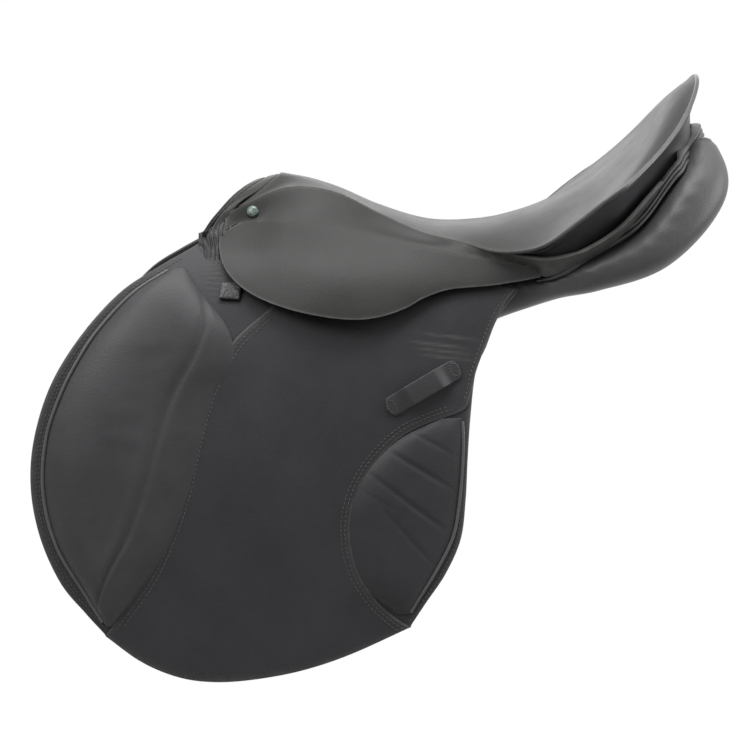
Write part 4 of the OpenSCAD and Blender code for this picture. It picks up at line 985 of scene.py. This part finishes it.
seam_groove = 2.6 * np.exp(-((r / 0.035) ** 2))
crumple = 0.5 * np.sin(30 * r + 6 * end) * smooth(0.55, 0.95, end) * np.sin(np.pi * r)
folds = long_fold - short_fold - seam_groove + crumple
outer = outer + normal * folds[..., None]
put("pommel_band", *sheet_of(outer, outer - normal * COVER_THICK), skirt_leather, "saddle",
    ["pommel_facing"], wear_and_painted_light=edge_wear_and_highlight(outer, 2.0, 0.3))


# Gathers: soft leather puckered together where facing, flap and skirt meet at the head, one a side.
# Sewn to the facing's end above and to the flap's corner below, it creases each time the flap is lifted.

GATHERS_FRONT = [-225, -74, 42.0]
GATHERS_REAR = [-196, -53.5, 53.0]
GATHERS_FOOT = 6.6
GATHERS_THICK = 1.6
s, t = shares(80, 50)
above = between(np.array(GATHERS_FRONT), np.array(GATHERS_REAR), s[..., None])
below = side_at(between(-226, -200, s), between(23, 12, s), GATHERS_FOOT)
outer = between(above, below, t[..., None])
normal = face_normal(outer)
normal = normal * np.sign(-normal[..., 1:2])
crumple = 0.55 * np.sin(47 * s + 3.5 * np.sin(4.2 * t + 1))
crumple = crumple + 0.5 * np.sin(24 * t - 33 * s + 2 * np.sin(9 * s)) * smooth(1, 0.6, t)
puckers = crumple * np.sin(np.pi * np.clip(0.12 + 0.88 * t, 0, 1))
puckers = puckers - 4 * smooth(0.25, 0, s) + 0.8 * np.sin(np.pi * t)
outer = outer + normal * puckers[..., None]
gathers = pair("head_gathers", *sheet_of(outer, outer - normal * GATHERS_THICK), black_leather, "",
               wear_and_painted_light=edge_wear_and_highlight(outer, 1.0, 0.3))
for side, way, piece in zip(("left", "right"), (-1, 1), gathers):
    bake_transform(piece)


# Seat: one skin of soft leather drawn down over foam and blocked to the dip of the tree.
# It is turned in along its lower edge and welted round the cantle.

SEAT_MID = [[-.413, .506], [-.344, .478], [-.272, .428], [-.175, .339], [-.05, .264], [.071, .264],
            [.169, .308], [.267, .39], [.362, .518], [.45, .685], [.52, .88], [.587, 1]]
SEAT_ROUND = [1.4, 1.4, 1.5, 1.6, 1.7, 1.7, 1.6, 1.45, 1.3, 1.2, 1.1, 1]
SEAT_EDGE_THICK = 3.2
SEAT_PADDING = 9


def seat_at(u, v):
    """Place on the seat: u from pommel to cantle along the middle, v from the near edge (1) to the off (-1).
    Height falls from the middle line to the edge curve as a power of the way out, rounded at the middle."""
    mid, edge, power = through(SEAT_MID, u), through(SEAT_EDGE, u), through(SEAT_ROUND, u)
    out = (np.sqrt(v**2 + 0.09) - 0.3) / (np.sqrt(1.09) - 0.3)
    return np.stack([between(mid[..., 0], edge[..., 0], v**2) * SPAN, -edge[..., 1] * v * HALF,
                     between(mid[..., 1], edge[..., 2], out**power) * HIGH], -1)


u, v = crossed(np.linspace(0, 1, 170), np.sin(np.linspace(-1, 1, 141) * np.pi / 2 * 0.999))
skin = seat_at(u, v)
normal = face_normal(skin)
normal = normal * np.sign(normal[..., 2:])
fine = 0.06 * np.sin(60 * u + 7 * v) * np.sin(19 * v + 9 * u) * (1 - v**2)
outer = skin + normal * fine[..., None]
thick = SEAT_EDGE_THICK + SEAT_PADDING * (1 - v**4) * smooth(0, 0.1, u) * smooth(1, 0.93, u)
seat_leather = leather("seat_leather", (0.022, 0.022, 0.0214), 0.43, 0.28)
seat = put("seat_skin", *sheet_of(outer, outer - normal * thick[..., None]), seat_leather, "saddle",
           ["seat_cover", "seat_foam"], "seat_leather", edge_wear_and_highlight(outer, 2.5, 0.2))

SOFTENING = 9
PIPING_RADIUS = 1.7
PIPING_END_RADIUS = 0.2
near = through(SEAT_EDGE, np.linspace(0.52, 0.995, 90)) * seat_size
rim = np.vstack([near, seat_at(np.ones(160), np.linspace(1, -1, 160)), near[::-1] * (1, -1, 1)])
soft = np.ones(SOFTENING) / SOFTENING
padded_rim = np.pad(rim, ((SOFTENING // 2, SOFTENING // 2), (0, 0)), "edge")
rim = np.stack([np.convolve(padded_rim[:, i], soft, "valid") for i in range(3)], -1)
count = np.arange(len(rim))
radius = PIPING_RADIUS * smooth(0, 40, np.minimum(count, len(rim) - 1 - count)) + PIPING_END_RADIUS
# The cantle piping takes the paler piping leather, a painted highlight along the welt.
put("cantle_piping", *cord_along(rim + [0.8, 0, -0.8], radius), piping_highlight_leather, "saddle")


# Cantle face: the hollow strip of leather between the seat's welt and the lips on the panels.
# Cut in one piece, sewn into the welt, and stretched down round the back of the tree, so it draws in.

FACE_TOP = [[.583, 0, .965], [.545, .4, .815], [.495, .6, .69], [.433, .775, .57], [.366, .985, .462],
            [.3, .965, .362], [.25, .93, .27], [.19, .865, .178], [.13, .75, .165]]
FACE_LOW = [[.568, 0, .76], [.542, .387, .665], [.5, .57, .55], [.44, .685, .43], [.358, .85, .29],
            [.3, .865, .21], [.25, .85, .16], [.19, .81, .14], [.13, .73, .16]]
CANTLE_MIDDLE = [60, 0, 60]
FACE_STAND = 3
FACE_HOLLOW = 2.6
f, t = crossed(np.linspace(0, 1, 24), np.linspace(-1, 1, 241))
outer = between(mirrored(FACE_LOW, t), mirrored(FACE_TOP, t), f[..., None])
normal = face_normal(outer)
normal = normal * np.sign(np.sum(normal * (outer - CANTLE_MIDDLE), axis=-1, keepdims=True))
stand = FACE_STAND - FACE_HOLLOW * np.sin(np.pi * f) * smooth(1, 0.8, np.abs(t))
outer = outer + normal * stand[..., None]
put("cantle_face", *sheet_of(outer, outer - normal * COVER_THICK), black_leather, "saddle", ["cantle_gusset"])


# Nails: domed nickel heads, one a side, driven through the band into the head of the tree.
# Turned and plated, now dulled and greenish; their solids are already right and stay.

def tarnished_nickel():
    """Nickel gone cloudy: paler metal, greenish and darker in patches."""
    made, add, surface = new_finish("tarnished_nickel")
    place = add("TexCoord").outputs["Object"]
    patches = {"Vector": place, "Scale": 420.0, "Detail": 5.0, "Roughness": 0.7}
    cloud = add("TexNoise", patches).outputs["Fac"]
    surface({
        "Base Color": shades(add, cloud, (0.034, 0.048, 0.043), (0.11, 0.132, 0.122), 0.35, 0.6),
        "Metallic": 1.0,
        "Roughness": spread(add, cloud, 0.6, 0.42, 0.3, 0.7),
        "Normal": pressed(add, cloud, 0.25, 0.0002),
    })
    return made


dress(tarnished_nickel(), "pommel_nails")


# Floor, light and camera: a pale disc far under the saddle, soft boxes above, on both sides and behind,
# a white surround that fills the shadows a little, and a long view from slightly above the near side.

FLOOR_MIDDLE = [-70, 0, -950]
FLOOR_RADIUS = 1100
FLOOR_SIDES = 96
FLOOR_RINGS = 24
turn, out = crossed(round_turn(FLOOR_SIDES), np.linspace(0.02, 1, FLOOR_RINGS))
disc = np.stack([out * np.cos(turn), out * np.sin(turn), 0 * out], -1) * FLOOR_RADIUS + FLOOR_MIDDLE
floor_points = np.vstack([disc.reshape(-1, 3), [FLOOR_MIDDLE]])
ring = np.arange(FLOOR_SIDES * FLOOR_RINGS).reshape(FLOOR_SIDES, FLOOR_RINGS)
after = np.roll(ring, -1, axis=0)
floor_faces = np.stack([ring[:, :-1], ring[:, 1:], after[:, 1:], after[:, :-1]], -1).reshape(-1, 4).tolist()
floor_faces += np.stack([np.full(FLOOR_SIDES, ring.size), ring[:, 0], after[:, 0]], -1).tolist()
floor_mesh = bpy.data.meshes.new("floor")
floor_mesh.from_pydata((floor_points / 1000).tolist(), [], floor_faces)
floor_made, add, surface = new_finish("pale_floor")
gritty = {"Vector": add("TexCoord").outputs["Object"], "Scale": 60.0, "Detail": 4.0}
grit = add("TexNoise", gritty).outputs["Fac"]
surface({"Base Color": shades(add, grit, (0.8, 0.8, 0.8), (0.86, 0.86, 0.86)), "Roughness": 0.8})
floor_mesh.materials.append(floor_made)
floor = bpy.data.objects.new("floor", floor_mesh)
bpy.context.scene.collection.objects.link(floor)


def soft_box(name, place, target, size, watts):
    """Rectangular soft light at a place in metres, turned to its target."""
    lamp = bpy.data.lights.new(name, "AREA")
    lamp.shape = "RECTANGLE"
    lamp.size, lamp.size_y = size
    lamp.energy = watts
    box = bpy.data.objects.new(name, lamp)
    box.location = place
    way = np.array(target) - np.array(place)
    flat = np.hypot(way[0], way[1])
    box.rotation_euler = (np.arctan2(flat, -way[2]), 0, np.arctan2(-way[0], way[1]))
    bpy.context.scene.collection.objects.link(box)


soft_box("overhead_box", (-0.05, -0.2, 1.5), (-0.07, -0.05, -0.05), (1.6, 0.9), 37)
soft_box("left_box", (-1.2, -0.9, 1.1), (-0.2, -0.1, -0.1), (0.9, 0.9), 20)
soft_box("right_box", (1.5, -0.2, 0.5), (0.15, 0, 0.05), (0.9, 1.1), 25)
soft_box("rear_box", (0.1, 1.8, 0.8), (0, 0, 0), (2.0, 0.8), 9)

FILL = 0.2
world = bpy.data.worlds.new("white_studio")
world.use_nodes = True
add = adder(world.node_tree)
ray = add("LightPath").outputs
mirror_ray = {0: ray["Is Glossy Ray"], 1: ray["Is Transmission Ray"]}
bounced = add("Math", mirror_ray, operation="MAXIMUM").outputs["Value"]
seen = add("Math", {0: ray["Is Camera Ray"], 1: bounced}, operation="MAXIMUM").outputs["Value"]
white = {"Color": (1, 1, 1, 1), "Strength": spread(add, seen, FILL, 1.0)}
wire(world.node_tree, world.node_tree.nodes["Background"], white)
bpy.context.scene.world = world
bpy.context.scene.view_settings.view_transform = "Standard"

# The picture is 0.75 thousand pixels wide, and a pixel covers 0.94 mm at the place aimed at.
TILT = np.radians(9)
DISTANCE = 1.7
AIM_X = -0.0705
AIM_Z = -0.0985
SENSOR = 36
MM_TO_A_PIXEL = 0.94
THOUSAND_PIXELS = 0.75
lens = bpy.data.cameras.new("photo_camera")
lens.sensor_width = SENSOR
lens.lens = SENSOR * (DISTANCE / MM_TO_A_PIXEL) / THOUSAND_PIXELS
camera = bpy.data.objects.new("photo_camera", lens)
camera.location = (AIM_X, -DISTANCE * np.cos(TILT), AIM_Z + DISTANCE * np.sin(TILT))
camera.rotation_euler = (np.pi / 2 - TILT, 0, 0)
bpy.context.scene.collection.objects.link(camera)
bpy.context.scene.camera = camera
